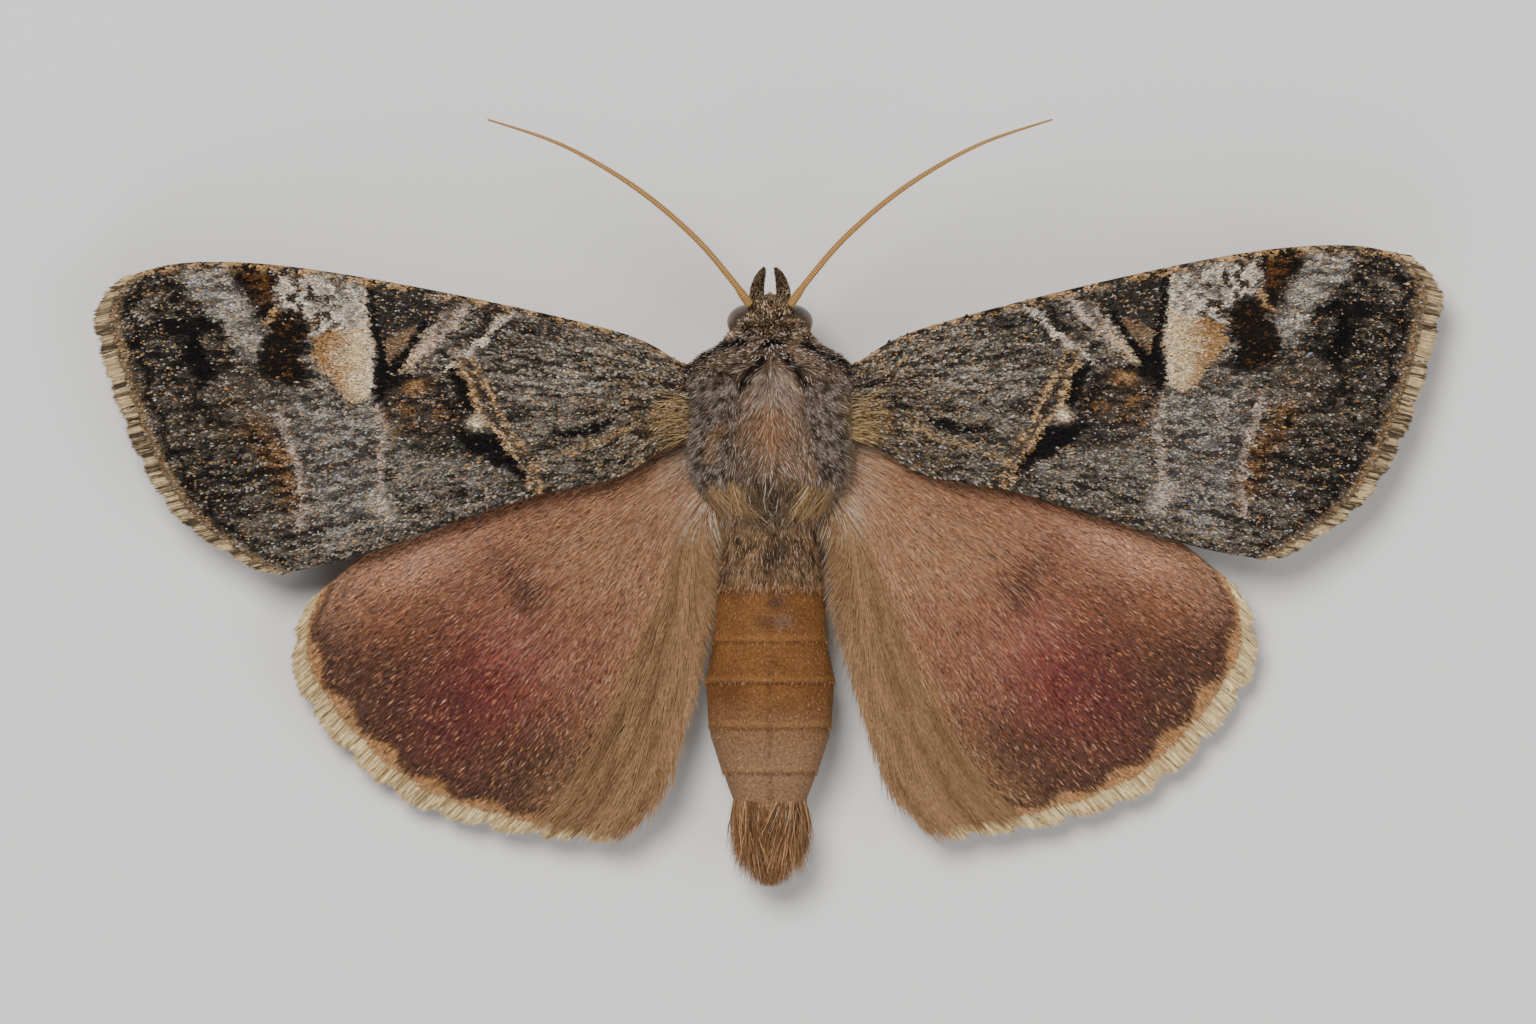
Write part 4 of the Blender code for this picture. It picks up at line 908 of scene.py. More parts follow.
# Body cross-sections along Y: half width, underside, top, all in millimetres.
BODY = np.array([
    (-6.24, 0.02, 3.28, 3.32), (-6.21, 0.2, 2.95, 3.65), (-6.14, 0.38, 2.7, 4.0),
    (-6.02, 0.56, 2.5, 4.25), (-5.82, 0.72, 2.38, 4.45), (-5.55, 0.82, 2.32, 4.58),
    (-5.35, 0.88, 2.3, 4.68), (-5.15, 1.0, 2.25, 4.8), (-4.95, 1.2, 2.2, 4.92),
    (-4.75, 1.45, 2.1, 5.02), (-4.45, 1.95, 1.95, 5.14), (-4.1, 2.32, 1.75, 5.24),
    (-3.6, 2.46, 1.6, 5.3), (-3.1, 2.46, 1.5, 5.34), (-2.0, 2.44, 1.5, 5.34),
    (-1.0, 2.32, 1.55, 5.16), (-0.3, 1.85, 1.65, 4.85), (0.2, 1.5, 1.8, 4.5),
    (0.7, 1.38, 1.85, 4.25), (1.2, 1.42, 1.72, 4.15), (2.5, 1.6, 1.22, 4.1),
    (4.0, 1.7, 0.98, 4.05), (5.2, 1.92, 0.86, 4.0), (6.8, 1.78, 0.82, 3.7),
    (8.07, 1.34, 1.0, 3.22), (8.95, 0.98, 1.18, 2.82), (9.8, 0.72, 1.4, 2.5),
    (10.4, 0.34, 1.65, 2.2), (10.6, 0.1, 1.85, 2.0),
])
SEGMENT_EDGES = (2.51, 4.0, 5.22, 6.56, 7.9, 8.97)


def body_section(y):
    """Half width, middle height and half height of the body at places along Y."""
    values = [np.interp(y, BODY[:, 0], BODY[:, i]) for i in (1, 2, 3)]
    swell = np.zeros_like(y)
    for edge in SEGMENT_EDGES:
        behind = y - edge
        swell += np.where(behind < 0, 0.03 * np.exp(behind / 0.5), -0.025 * np.exp(-behind / 0.22))
    swell *= smooth(1.0, 2.2, y)
    half_width = values[0] + swell
    middle = (values[1] + values[2]) / 2
    half_height = (values[2] - values[1]) / 2 + swell
    return half_width, middle, half_height


def collar_arch(x, y):
    """How far a place lies behind the collar's arched ridge."""
    return y + 5.45 - 0.2 * np.abs(x) ** 2.1


def top_relief(x, y, angle):
    """The collar's arched ridge, the groove behind it and the raised shoulder lobes."""
    top = smooth(0.05, 0.45, np.sin(angle))
    arch = collar_arch(x, y)
    ridge = 0.2 * np.exp(-((arch / 0.15) ** 2)) - 0.12 * np.exp(-(((arch - 0.34) / 0.12) ** 2))
    lobe = 0.14 * smooth(0.85, 1.2, np.abs(x)) * smooth(-4.4, -3.7, y) * smooth(-0.5, -0.85, y)
    crest = 0.18 * np.exp(-((x / 0.75) ** 2)) * np.exp(-(((y + 0.5) / 0.45) ** 2))
    return (ridge + lobe + crest) * top


def section_power(y):
    """1 for an oval section; less where the thorax is squarer."""
    return 1.0 - 0.26 * smooth(-4.7, -4.0, y) * smooth(-0.1, -0.7, y)


def body_point(y, angle, off=0.0):
    half_width, middle, half_height = body_section(y)
    power = section_power(y)
    x = (half_width + off) * np.sign(np.cos(angle)) * np.abs(np.cos(angle)) ** power
    z = middle + (half_height + off) * np.sign(np.sin(angle)) * np.abs(np.sin(angle)) ** power
    z = z + top_relief(x, y, angle)
    return np.column_stack([x, y, z])


def body_normal(y, angle):
    step = 0.05
    around = body_point(y, angle + step) - body_point(y, angle - step)
    back = body_point(y + step, angle) - body_point(y - step, angle)
    out = unit(np.cross(back, around))
    centre = body_point(y, angle) - np.column_stack([np.zeros_like(y), y, body_section(y)[1]])
    flip = np.sum(out * centre, axis=1) < 0
    out[flip] *= -1
    return out


def body_uv(y, angle):
    turn = ((angle + math.pi / 2) / (2 * math.pi)) % 1.0
    return np.column_stack([0.01 + 0.98 * turn, 0.01 + 0.98 * (y + 7.0) / 19.0])


# Body marks in photo pixels, seen from above.
TEGULAE_PX = (
    [(684, 374), (712, 366), (738, 374), (741, 400), (735, 440), (729, 468), (724, 486), (706, 489),
     (690, 480), (681, 455), (681, 410)],
    [(804, 384), (830, 368), (858, 374), (864, 410), (864, 455), (858, 480), (840, 489), (820, 486),
     (811, 450), (802, 415)],
)
COLLAR_PX = [(683, 369), (700, 352), (719, 335), (745, 323), (773, 318), (797, 324), (823, 341), (854, 366),
             (846, 368), (820, 354), (796, 343), (780, 339), (770, 339), (752, 344), (724, 354), (700, 363)]
HOOD_PX = [(700, 364), (740, 347), (770, 341), (800, 348), (840, 364), (830, 384), (806, 384), (784, 360),
           (766, 360), (744, 382), (716, 384)]
COLLAR_SHADOWS_PX = (
    [(688, 368), (708, 356), (728, 348), (748, 339)],
    [(800, 344), (814, 353), (834, 361), (854, 369)],
)
FORKS_PX = ([(767, 358), (757, 368), (743, 382)], [(782, 358), (792, 368), (804, 384)])
NOTCH_PX = [(762, 345), (772, 335), (785, 345), (778, 347)]
CREST_PX = [(746, 480), (808, 480), (806, 502), (792, 520), (776, 534), (760, 520), (748, 502)]
SPECKLE_PX = ((741, 617), (786, 616), (752, 600), (800, 622))


def body_pixels(where):
    return np.column_stack([AXIS_PX - where[:, 0] / MM_PER_PIXEL, MIDDLE_PX + where[:, 1] / MM_PER_PIXEL])


def tegula_mask(p, soft):
    return np.maximum(area_mask(p, TEGULAE_PX[0], soft), area_mask(p, TEGULAE_PX[1], soft))


def thorax_colour(p, fine, broad):
    colour = mix(srgb(88, 71, 56), srgb(140, 110, 86), np.clip(broad * 1.3 - 0.1, 0, 1))

    paint = Paint(colour, p, fine)

    paint.spot((774, 392), (27, 20), (164, 144, 130), 0.75)
    paint.spot((771, 428), (26, 30), (160, 116, 84), 0.7)
    paint.spot((792, 440), (12, 34), (108, 88, 74), 0.6)
    paint.spot((750, 430), (8, 34), (112, 90, 74), 0.5)
    paint.spot((750, 468), (16, 20), (96, 82, 72), 0.6)
    paint.line([(775, 385), (776, 430), (776, 480)], 3, 2, (84, 62, 46), 0.45)
    paint(tegula_mask(p, 5), paint.span((62, 54, 48), (138, 122, 109)), 0.9)
    paint.line([(724, 428), (714, 440), (710, 458)], 12, 7, (156, 116, 78), 0.55)
    paint.line([(846, 402), (854, 440), (850, 474)], 12, 7, (150, 124, 80), 0.6)
    paint.area(HOOD_PX, 5, paint.span((72, 57, 44), (124, 101, 80)), 0.9)
    for fork in FORKS_PX:
        paint.line(fork, 8, 3, (26, 17, 12), 1.1)
    paint.area(COLLAR_PX, 3, paint.span((56, 40, 28), (138, 112, 86)), 0.95)
    paint.line([(754, 322), (775, 319), (796, 326)], 6, 3, (158, 128, 96), 0.5)
    paint.line([(812, 336), (828, 348), (838, 352)], 8, 4, (178, 166, 154), 0.6)
    for shadow in COLLAR_SHADOWS_PX:
        paint.line(shadow, 8, 3, (20, 14, 10), 1.0)
    paint.area(NOTCH_PX, 2, BLACK, 0.95)
    paint.area(CREST_PX, 6, paint.span((50, 40, 32), (132, 110, 86)), 0.9)
    paint.spot((756, 494), (10, 5), (146, 98, 56), 0.6)
    paint.spot((796, 492), (8, 5), (140, 98, 60), 0.5)
    return paint.colour


ABDOMEN_SPOTS = (
    ((776, 548), (14, 16), (44, 36, 32), 0.8),
    ((774, 572), (6, 16), (62, 50, 42), 0.6),
    ((776, 603), (10, 7), (60, 48, 40), 0.8),
    ((765, 622), (9, 8), (64, 48, 38), 0.6),
    ((783, 621), (9, 6), (96, 88, 84), 0.6),
    ((774, 664), (5, 8), (84, 56, 36), 0.5),
)


def abdomen_colour(where, p, fine, broad, top):
    y = where[:, 1]
    colour = mix(srgb(98, 61, 32), srgb(142, 95, 53), np.clip(broad * 1.3 - 0.1, 0, 1))

    paint = Paint(colour, p, fine)

    paint(smooth(5.4, 7.6, y), (148, 116, 88), 0.8)
    paint(smooth(8.8, 9.4, y), paint.span((108, 74, 46), (172, 128, 88)), 0.9)
    paint(smooth(10.6, 11.3, y), (150, 90, 54), 0.4)
    for edge in SEGMENT_EDGES:
        paint(np.exp(-(((y - edge) / 0.045) ** 2)), (84, 52, 28), 0.55)
        paint(np.exp(-(((y - edge + 0.14) / 0.08) ** 2)), (176, 124, 72), 0.25)
    paint(smooth(2.5, 2.2, y), paint.span((62, 46, 32), (136, 106, 77)), 0.92)
    for centre, radii, tone, strength in ABDOMEN_SPOTS:
        paint(spot_mask(p, centre, radii) * top, tone, strength)
    midline = np.exp(-((where[:, 0] / 0.1) ** 2)) * top * smooth(0.3, 0.7, fine)
    paint(midline, (88, 56, 34), 0.45)
    paint(1 - top, (164, 134, 100), 0.5)
    return paint.colour


def body_colour(y, angle, seed=1):
    """Body markings from head to tail, all round."""
    where = body_point(y, angle)
    p = body_pixels(where) + shaken(where, 0.3, (51, 57), 7.0)
    top = smooth(-0.1, 0.35, np.sin(angle))
    broad = layered(where, 1.1, seed + 90)
    fine = smooth(0.3, 0.7, layered(where, 0.16, seed + 95, 2))
    under = mix(srgb(128, 104, 82), srgb(174, 148, 120), fine)
    thorax = mix(under, thorax_colour(p, fine, broad), top)
    abdomen = abdomen_colour(where, p, fine, broad, top)
    head = mix(srgb(66, 52, 40), srgb(164, 142, 116), fine)
    colour = mix(thorax, abdomen, smooth(0.35, 0.75, y))
    return mix(head, colour, smooth(-5.62, -5.5, y + 0.05 * (fine - 0.5)))


BODY_GRID = (330, 72)


def body_skin_arrays():
    rings, sides = BODY_GRID
    y = np.repeat(np.linspace(BODY[0, 0], BODY[-1, 0], rings), sides)
    angle = np.tile(np.arange(sides) * 2 * math.pi / sides, rings)
    verts = body_point(y, angle)
    grid = np.arange(rings * sides).reshape(rings, sides)
    faces = wrapped_faces(grid)
    verts = np.vstack([verts, body_end(0), body_end(-1)])
    ends = []
    for ring, centre in ((grid[0], len(verts) - 2), (grid[-1], len(verts) - 1)):
        after = np.roll(ring, -1)
        ends.append(np.stack([ring, after, np.full(sides, centre), np.full(sides, centre)], axis=-1))
    colour = body_colour(verts[:, 1], np.concatenate([angle, [0.0, 0.0]]))
    # Painted shade: the skin is darkened to 0.8 of the coat's colours, as it lies under the hair and scales.
    return verts, faces, ends, colour * 0.8


def body_end(index):
    y, _, low, high = BODY[index]
    return np.array([[0.0, y, (low + high) / 2]])


def grid_faces(rows, columns, first=0):
    grid = np.arange(rows * columns).reshape(rows, columns) + first
    return np.stack([grid[:-1, :-1], grid[1:, :-1], grid[1:, 1:], grid[:-1, 1:]], axis=-1).reshape(-1, 4)


WING_GRID = (150, 78)
GRAIN_MM = {"forewing": (17.0, 8.0), "hindwing": (12.0, 12.0)}


def wing_skin_arrays(kind, side):
    """A closed thin plate: top and bottom grids joined round their edge."""
    shape, look = LOOKS[kind]
    rows, columns = WING_GRID
    u = np.linspace(0.0, shape["membrane_end"], rows)
    v = np.linspace(0.0, 1.0, columns)
    uu, vv = (a.ravel() for a in np.meshgrid(u, v, indexing="ij"))
    rim = np.minimum.reduce([smooth(0, 0.02, vv), smooth(1, 0.98, vv), smooth(u[-1], u[-1] - 0.02, uu)])
    half = SKIN_HALF_THICKNESS * (0.25 + 0.75 * rim)
    top = wing_place(shape, side, uu, vv, half)
    bottom = wing_place(shape, side, uu, vv, -half)
    colour, _, _ = look(wing_flat(shape, uu, vv), uu, vv, shape)
    verts = np.vstack([top, bottom])
    upper = grid_faces(rows, columns)
    lower = grid_faces(rows, columns, rows * columns)[:, ::-1]
    grid = np.arange(rows * columns).reshape(rows, columns)
    loop = np.concatenate([grid[0, :-1], grid[:-1, -1], grid[-1, :0:-1], grid[:0:-1, 0]])
    after = np.roll(loop, -1)
    wall = np.stack([loop, after, after + rows * columns, loop + rows * columns], axis=-1)
    if side == "left":
        faces = np.vstack([upper[:, ::-1], lower[:, ::-1], wall])
    else:
        faces = np.vstack([upper, lower, wall[:, ::-1]])
    grain = np.column_stack([uu * GRAIN_MM[kind][0], vv * GRAIN_MM[kind][1]])
    # Painted shade: the skin is darkened to 0.8 of the pattern's colours, top and bottom, as it lies under
    # the scales.
    return verts, faces, np.vstack([colour * 0.8, underside(colour) * 0.8]), np.vstack([grain, grain])


# Legs: root, knee, ankle and claw, as in the solids, and half thicknesses, in millimetres.
TARSUS_Z = 0.21
LEGS = {
    "foreleg": [(0.9, -3.4, 2.3), (2.95, -3.5, 2.2), (4.1, -4.0, 0.6), (5.6, -4.5, TARSUS_Z)],
    "midleg": [(1.1, -2.1, 2.1), (4.2, -1.6, 2.15), (5.8, -0.5, 0.6), (8.1, 0.4, TARSUS_Z)],
    "hindleg": [(1.1, -0.9, 2.1), (3.4, 1.3, 1.95), (4.8, 4.2, 0.65), (5.5, 7.2, TARSUS_Z)],
}
SPURS = {"foreleg": (), "midleg": (1.0,), "hindleg": (0.55, 1.0)}


def lerp(a, b, share):
    return tuple(p + (q - p) * share for p, q in zip(a, b))


def leg_path(kind):
    root, knee, ankle, claw = LEGS[kind]
    stops = [root, lerp(root, knee, 0.5), lerp(root, knee, 0.94)]
    stops += [lerp(knee, ankle, share) for share in (0.06, 0.5, 0.95)]
    tarsus = [lerp(ankle, claw, share) for share in (0.08, 0.2, 0.4, 0.6, 0.8, 1.0)]
    stops += [(x, y, TARSUS_Z) for x, y, _ in tarsus]
    radii = [0.3, 0.33, 0.24, 0.2, 0.25, 0.19, 0.17, 0.16, 0.15, 0.14, 0.13, 0.1]
    return np.array(stops), np.array(radii)


TUBE_SIDES = 12


def tube_arrays(path, radii, sides=TUBE_SIDES, across=None):
    """A closed tube along path; across is a direction that a flat path leaves free."""
    count = len(path)
    tangent = unit(np.gradient(path, axis=0))
    side = np.cross(tangent, UP)
    if across is not None:
        side = np.tile(np.array(across), (count, 1))
    weak = np.linalg.norm(side, axis=1) < 1e-4
    side[weak] = np.array([1.0, 0.0, 0.0])
    side = unit(side)
    upward = np.cross(side, tangent)
    turn = np.arange(sides) * 2 * math.pi / sides
    ring = np.cos(turn)[None, :, None] * side[:, None] + np.sin(turn)[None, :, None] * upward[:, None]
    verts = (path[:, None] + ring * radii[:, None, None]).reshape(-1, 3)
    grid = np.arange(count * sides).reshape(count, sides)
    faces = wrapped_faces(grid)
    verts = np.vstack([verts, path[:1], path[-1:]])
    first, last = len(verts) - 2, len(verts) - 1
    caps = [
        np.stack([grid[0], np.roll(grid[0], -1), np.full(sides, first)], axis=-1),
        np.stack([np.roll(grid[-1], -1), grid[-1], np.full(sides, last)], axis=-1),
    ]
    return verts, faces, np.vstack(caps)


def tube_piece(name, tube, colour, material):
    """A closed tube as a piece of its own."""
    verts, faces, caps = tube
    verts, faces, colours, _ = join_arrays([(verts, [faces, caps], colour, 0)])
    obj = fresh_mesh(name, verts, faces, colours)
    dress(obj, material)
    face_outward(obj)
    return obj


def wrapped_faces(grid):
    """Quads between rings that close on themselves."""
    after = np.roll(grid, -1, axis=1)
    return np.stack([grid[:-1], after[:-1], after[1:], grid[1:]], axis=-1).reshape(-1, 4)


def mirrored(path, side):
    result = np.array(path, dtype=float)
    if side == "right":
        result[:, 0] *= -1
    return result


def resampled(stops, radii, count):
    """Evenly placed points and radii along a bent path."""
    reach = np.concatenate([[0.0], np.cumsum(np.linalg.norm(np.diff(stops, axis=0), axis=1))])
    wanted = np.linspace(0, reach[-1], count)
    path = np.column_stack([np.interp(wanted, reach, stops[:, axis]) for axis in range(3)])
    return path, np.interp(wanted, reach, radii)


PALP_PATH = [(0.4, -5.9, 2.7), (0.39, -6.4, 2.85), (0.32, -6.76, 3.25), (0.2, -7.03, 3.8)]
PALP_RADII = (0.2, 0.16, 0.1, 0.01)
PALP_POINTS = 31
LEG_POINTS = 90


def leg_tube(kind, side):
    path, thick = resampled(*leg_path(kind), LEG_POINTS)
    return mirrored(path, side), thick


def palp_tube(side):
    path = mirrored(smooth_path(PALP_PATH, PALP_POINTS - 1), side)
    shares = np.linspace(0, 1, len(PALP_RADII))
    return path, np.interp(np.linspace(0, 1, PALP_POINTS), shares, PALP_RADII)


def join_arrays(parts):
    """Stacks (verts, face lists, colour, slot) parts into triangles; faces have three or four corners."""
    corners = {3: [[0, 1, 2]], 4: [[0, 1, 2], [0, 2, 3]]}
    starts = np.cumsum([0] + [len(part[0]) for part in parts])
    faces, slots = [], []
    for size in corners:
        for start, (_, face_lists, _, slot) in zip(starts, parts):
            for some in face_lists:
                if some.shape[1] == size:
                    faces += [some[:, corner] + start for corner in corners[size]]
                    slots += [np.full(len(some), slot)] * len(corners[size])
    faces, slots = np.vstack(faces), np.concatenate(slots)
    real = (faces[:, 0] != faces[:, 1]) & (faces[:, 1] != faces[:, 2]) & (faces[:, 0] != faces[:, 2])
    verts, colours = (np.vstack([part[i] for part in parts]) for i in (0, 2))
    return verts, faces[real], colours, slots[real]


def make_skin(materials):
    """One object for head, body, palps, legs and wings."""
    parts = []
    grains = []
    verts, faces, ends, colour = body_skin_arrays()
    parts.append((verts, [faces, *ends], colour, 0))
    body_size = len(verts)
    for kind in ("forewing", "hindwing"):
        for side in ("left", "right"):
            verts, faces, colour, grain = wing_skin_arrays(kind, side)
            parts.append((verts, [faces], colour, 1 if kind == "forewing" else 2))
            grains.append((len(verts), grain))
    for side in ("left", "right"):
        for kind in LEGS:
            verts, faces, caps = tube_arrays(*leg_tube(kind, side))
            tone = layered(verts, 0.5, 17)
            colour = mix(srgb(92, 72, 58), srgb(150, 124, 100), tone)
            parts.append((verts, [faces, caps], colour, 3))
        verts, faces, caps = tube_arrays(*palp_tube(side))
        colour = mix(srgb(84, 66, 54), srgb(140, 116, 94), layered(verts, 0.3, 19))
        parts.append((verts, [faces, caps], colour, 0))
    verts, faces, colours, slots = join_arrays(parts)
    skin = fresh_mesh("moth_skin", verts, faces, colours)
    place = np.zeros((len(verts), 2))
    place[body_size:body_size + sum(size for size, _ in grains)] = np.vstack([grain for _, grain in grains])
    grain_map = skin.data.uv_layers.new(name="grain")
    grain_map.data.foreach_set("uv", place[faces.ravel()].astype(np.float32).ravel())
    for material in materials:
        skin.data.materials.append(material)
    skin.data.polygons.foreach_set("material_index", slots.astype(np.int32))
    face_outward(skin)
    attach(skin, "root")
    names = ["thorax", "head", "abdomen", "palp_left", "palp_right"]
    names += [f"{kind}_{side}" for kind in (*LEGS, "forewing", "hindwing") for side in ("left", "right")]
    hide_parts(*names)
    return skin


def face_outward(obj):
    bm = bmesh.new()
    bm.from_mesh(obj.data)
    bmesh.ops.recalc_face_normals(bm, faces=bm.faces)
    bm.to_mesh(obj.data)
    bm.free()


def body_spots(first, last, count, rng, angle_range=(0.0, 2 * math.pi)):
    """Even places over a stretch of the body, as Y and angle."""
    y = np.linspace(first, last, 160)
    angle = np.linspace(angle_range[0], angle_range[1], 97)[:-1]
    yy, aa = (g.ravel() for g in np.meshgrid(y, angle, indexing="ij"))
    step_y, step_a = (y[1] - y[0]) / 2, (angle[1] - angle[0]) / 2
    dy = body_point(yy + step_y, aa) - body_point(yy - step_y, aa)
    da = body_point(yy, aa + step_a) - body_point(yy, aa - step_a)
    area = np.linalg.norm(np.cross(dy, da), axis=1)
    cell = spread_over(area, count, rng)
    return yy[cell] + rng.uniform(-step_y, step_y, count), aa[cell] + rng.uniform(-step_a, step_a, count)


def coat(name, y, angle, length, width, rise, forward, spread, colour, material, rng,
         bend=0.0, steps=1):
    """Tufts on the body that leave along it, rise a little and bend back to it."""
    count = len(y)
    root = body_point(y, angle, -0.02)
    out = body_normal(y, angle)
    back = unit(body_point(y + 0.05, angle) - body_point(y - 0.05, angle)) * forward
    aside = unit(np.cross(back, out))
    turn = rng.normal(0, 0.2, count)[:, None] + np.asarray(spread).reshape(-1, 1)
    heading = unit(back + aside * turn + out * rise[:, None])
    reach = length[:, None]
    shares = (np.arange(steps) + 1) / steps
    path = np.stack([root + heading * reach * s - out * bend * reach * s * s * 0.6 for s in shares], axis=1)
    uv = body_uv(y, angle)
    obj = hair_tufts(name, root, path, np.cross(heading, out), width, colour, uv)
    dress(obj, material)
    return obj


def speckled(colour, rng, pale=0.1, dark=0.12, value=None, spread=0.3):
    value = srgb(206, 194, 180) if value is None else value
    count = len(colour)
    result = colour * np.exp(rng.normal(-0.03, spread, count))[:, None]
    draw = rng.random(count)
    light = draw < pale
    result[light] = mix(result[light], value, rng.uniform(0.35, 0.9, light.sum()))
    result[draw > 1 - dark] *= 0.45
    return result


def collar_end(x):
    """Where the collar's scales give way to the thorax's hair, further back at the sides."""
    return -4.55 + 0.22 * np.abs(x) ** 1.6


COUNTS = {
    "thorax_tufts": 34000, "collar_scales": 13000, "rear_tufts": 5200, "abdomen_tufts": 25000,
    "segment_tufts": 1100, "tail_tufts": 5200, "head_scales": 11000, "brow_tufts": 1200, "limb_scales": 2600,
    "forewing_root_hair": 300,
}


def thorax_coat(material):
    """Short hair: parted along the middle, standing up on the shoulder lobes and the collar."""
    rng = np.random.default_rng(21)
    y, angle = body_spots(-5.45, 0.35, COUNTS["thorax_tufts"], rng)
    where = body_point(y, angle)
    behind_collar = where[:, 1] > collar_end(where[:, 0]) - 0.15 * rng.random(len(y))
    hairy = behind_collar | (np.sin(angle) < 0.05)
    y, angle, where = y[hairy], angle[hairy], where[hairy]
    x = where[:, 0]
    top = smooth(-0.1, 0.35, np.sin(angle))
    p = body_pixels(where)
    upright = np.maximum(tegula_mask(p, 5), smooth(-4.0, -4.5, y)) * top
    length = rng.uniform(0.28, 0.44, len(y)) * (1 - 0.5 * upright) * np.where(top < 0.3, 1.3, 1.0)
    rise = rng.uniform(0.2, 0.45, len(y)) + 1.3 * upright
    parting = 0.6 * np.sign(x) * smooth(0.02, 0.2, np.abs(x)) * (1 - 0.5 * smooth(0.5, 1.2, np.abs(x))) * top
    colour = speckled(body_colour(y, angle), rng, 0.1 + 0.04 * upright, 0.18, spread=0.4)
    width = rng.uniform(0.026, 0.044, len(y))
    coat("thorax_coat", y, angle, length, width, rise, 1.0, parting, colour, material, rng)


def collar_coat(material):
    """Short overlapping scales over collar and hood, standing up along the collar's arched ridge."""
    rng = np.random.default_rng(22)
    y, angle = body_spots(-5.45, -3.6, COUNTS["collar_scales"], rng, (0.04, math.pi - 0.04))
    place = body_point(y, angle)
    keep = place[:, 1] < 0.1 + collar_end(place[:, 0])
    y, angle, place = y[keep], angle[keep], place[keep]
    count = len(y)
    ridge = np.exp(-((collar_arch(place[:, 0], y) / 0.2) ** 2))
    out = body_normal(y, angle)
    back = unit(body_point(y + 0.05, angle) - place)
    aside = np.cross(back, out)
    aside *= np.sign(aside[:, 0] * place[:, 0])[:, None]
    turn = rng.normal(0, 0.3, count)
    ahead = back * (1.0 - 1.6 * ridge)[:, None] + aside * (0.45 + turn)[:, None]
    ahead += out * (rng.uniform(0.1, 0.4, count) + 0.9 * ridge)[:, None]
    ahead, out = laid(ahead, out)
    colour = speckled(body_colour(y, angle), rng, 0.16, 0.26, spread=0.45)
    length, width = rng.uniform(0.15, 0.27, count), rng.uniform(0.035, 0.055, count)
    obj = flat_scales("collar_scales", place, ahead, out, length, width, colour, body_uv(y, angle),
                      rng.uniform(0.01, 0.05, count), 0.65)
    dress(obj, material)


def rear_coat(material):
    """The crest's clumps, and long tan hair beside it that streams over the abdomen's base."""
    rng = np.random.default_rng(23)
    y, angle = body_spots(-0.95, 0.0, COUNTS["rear_tufts"], rng, (0.12, math.pi - 0.12))
    x = body_point(y, angle)[:, 0]
    middle = smooth(1.0, 0.75, np.abs(x))
    clump = noise(in_a_row(x * 5.0), 1.0, 77)
    streaming = rng.uniform(1.1, 1.75, len(y)) + 0.4 * (clump - 0.5)
    length = mix_number(streaming, rng.uniform(0.45, 0.8, len(y)), middle)
    tone = np.clip(0.6 * clump + 0.5 * rng.random(len(y)), 0, 1)
    tan_hair = mix(srgb(104, 80, 54), srgb(184, 148, 104), tone)
    crest_hair = mix(srgb(40, 31, 24), srgb(124, 100, 76), rng.random(len(y)))
    colour = speckled(mix(tan_hair, crest_hair, middle), rng, 0.05, 0.08, spread=0.2)
    width = rng.uniform(0.03, 0.045, len(y))
    rise = mix_number(rng.uniform(0.02, 0.2, len(y)), rng.uniform(0.3, 0.6, len(y)), middle)
    coat("rear_coat", y, angle, length, width, rise, 1.0, -0.1 * np.sign(x), colour, material,
         rng, 0.25, 2)


def abdomen_coat(material):
    """Short flat hair, rougher and greyer at the base, with tufts at the segments' rear corners."""
    rng = np.random.default_rng(24)
    y, angle = body_spots(0.45, 9.0, COUNTS["abdomen_tufts"], rng)
    p = body_pixels(body_point(y, angle))
    rough = smooth(2.7, 2.2, y)
    length = rng.uniform(0.09, 0.17, len(y)) * (1 + 0.8 * rough)
    speckle = np.maximum.reduce([spot_mask(p, place, (11, 12)) for place in SPECKLE_PX])
    rows = np.maximum.reduce([np.exp(-(((y - edge + 0.25) / 0.16) ** 2)) for edge in SEGMENT_EDGES])
    pale = 0.16 + 0.4 * speckle + 0.06 * smooth(5.0, 7.5, y) + 0.1 * rows
    colour = speckled(body_colour(y, angle), rng, pale, 0.08 + 0.14 * rough, srgb(198, 168, 140),
                      spread=0.24 + 0.15 * rough)
    width = rng.uniform(0.024, 0.04, len(y))
    rise = rng.uniform(0.1, 0.24, len(y)) + 0.22 * rough * rng.random(len(y))
    coat("abdomen_coat", y, angle, length, width, rise, 1.0, 0.0, colour, material, rng)
    count = COUNTS["segment_tufts"]
    corner_y = np.repeat(np.array(SEGMENT_EDGES[1:]) - 0.1, count // 5) + rng.normal(0, 0.06, count)
    corner_angle = np.where(rng.random(count) < 0.5, 0.0, math.pi) + rng.normal(0, 0.2, count)
    colour = speckled(body_colour(corner_y, corner_angle) * 1.1, rng, 0.06, 0.05)
    length, width = rng.uniform(0.12, 0.26, count), rng.uniform(0.028, 0.045, count)
    rise = rng.uniform(0.08, 0.2, count)
    coat("segment_tufts", corner_y, corner_angle, length, width, rise, 1.0, 0.0, colour, material,
         rng)


TAIL_END_Y = 11.45


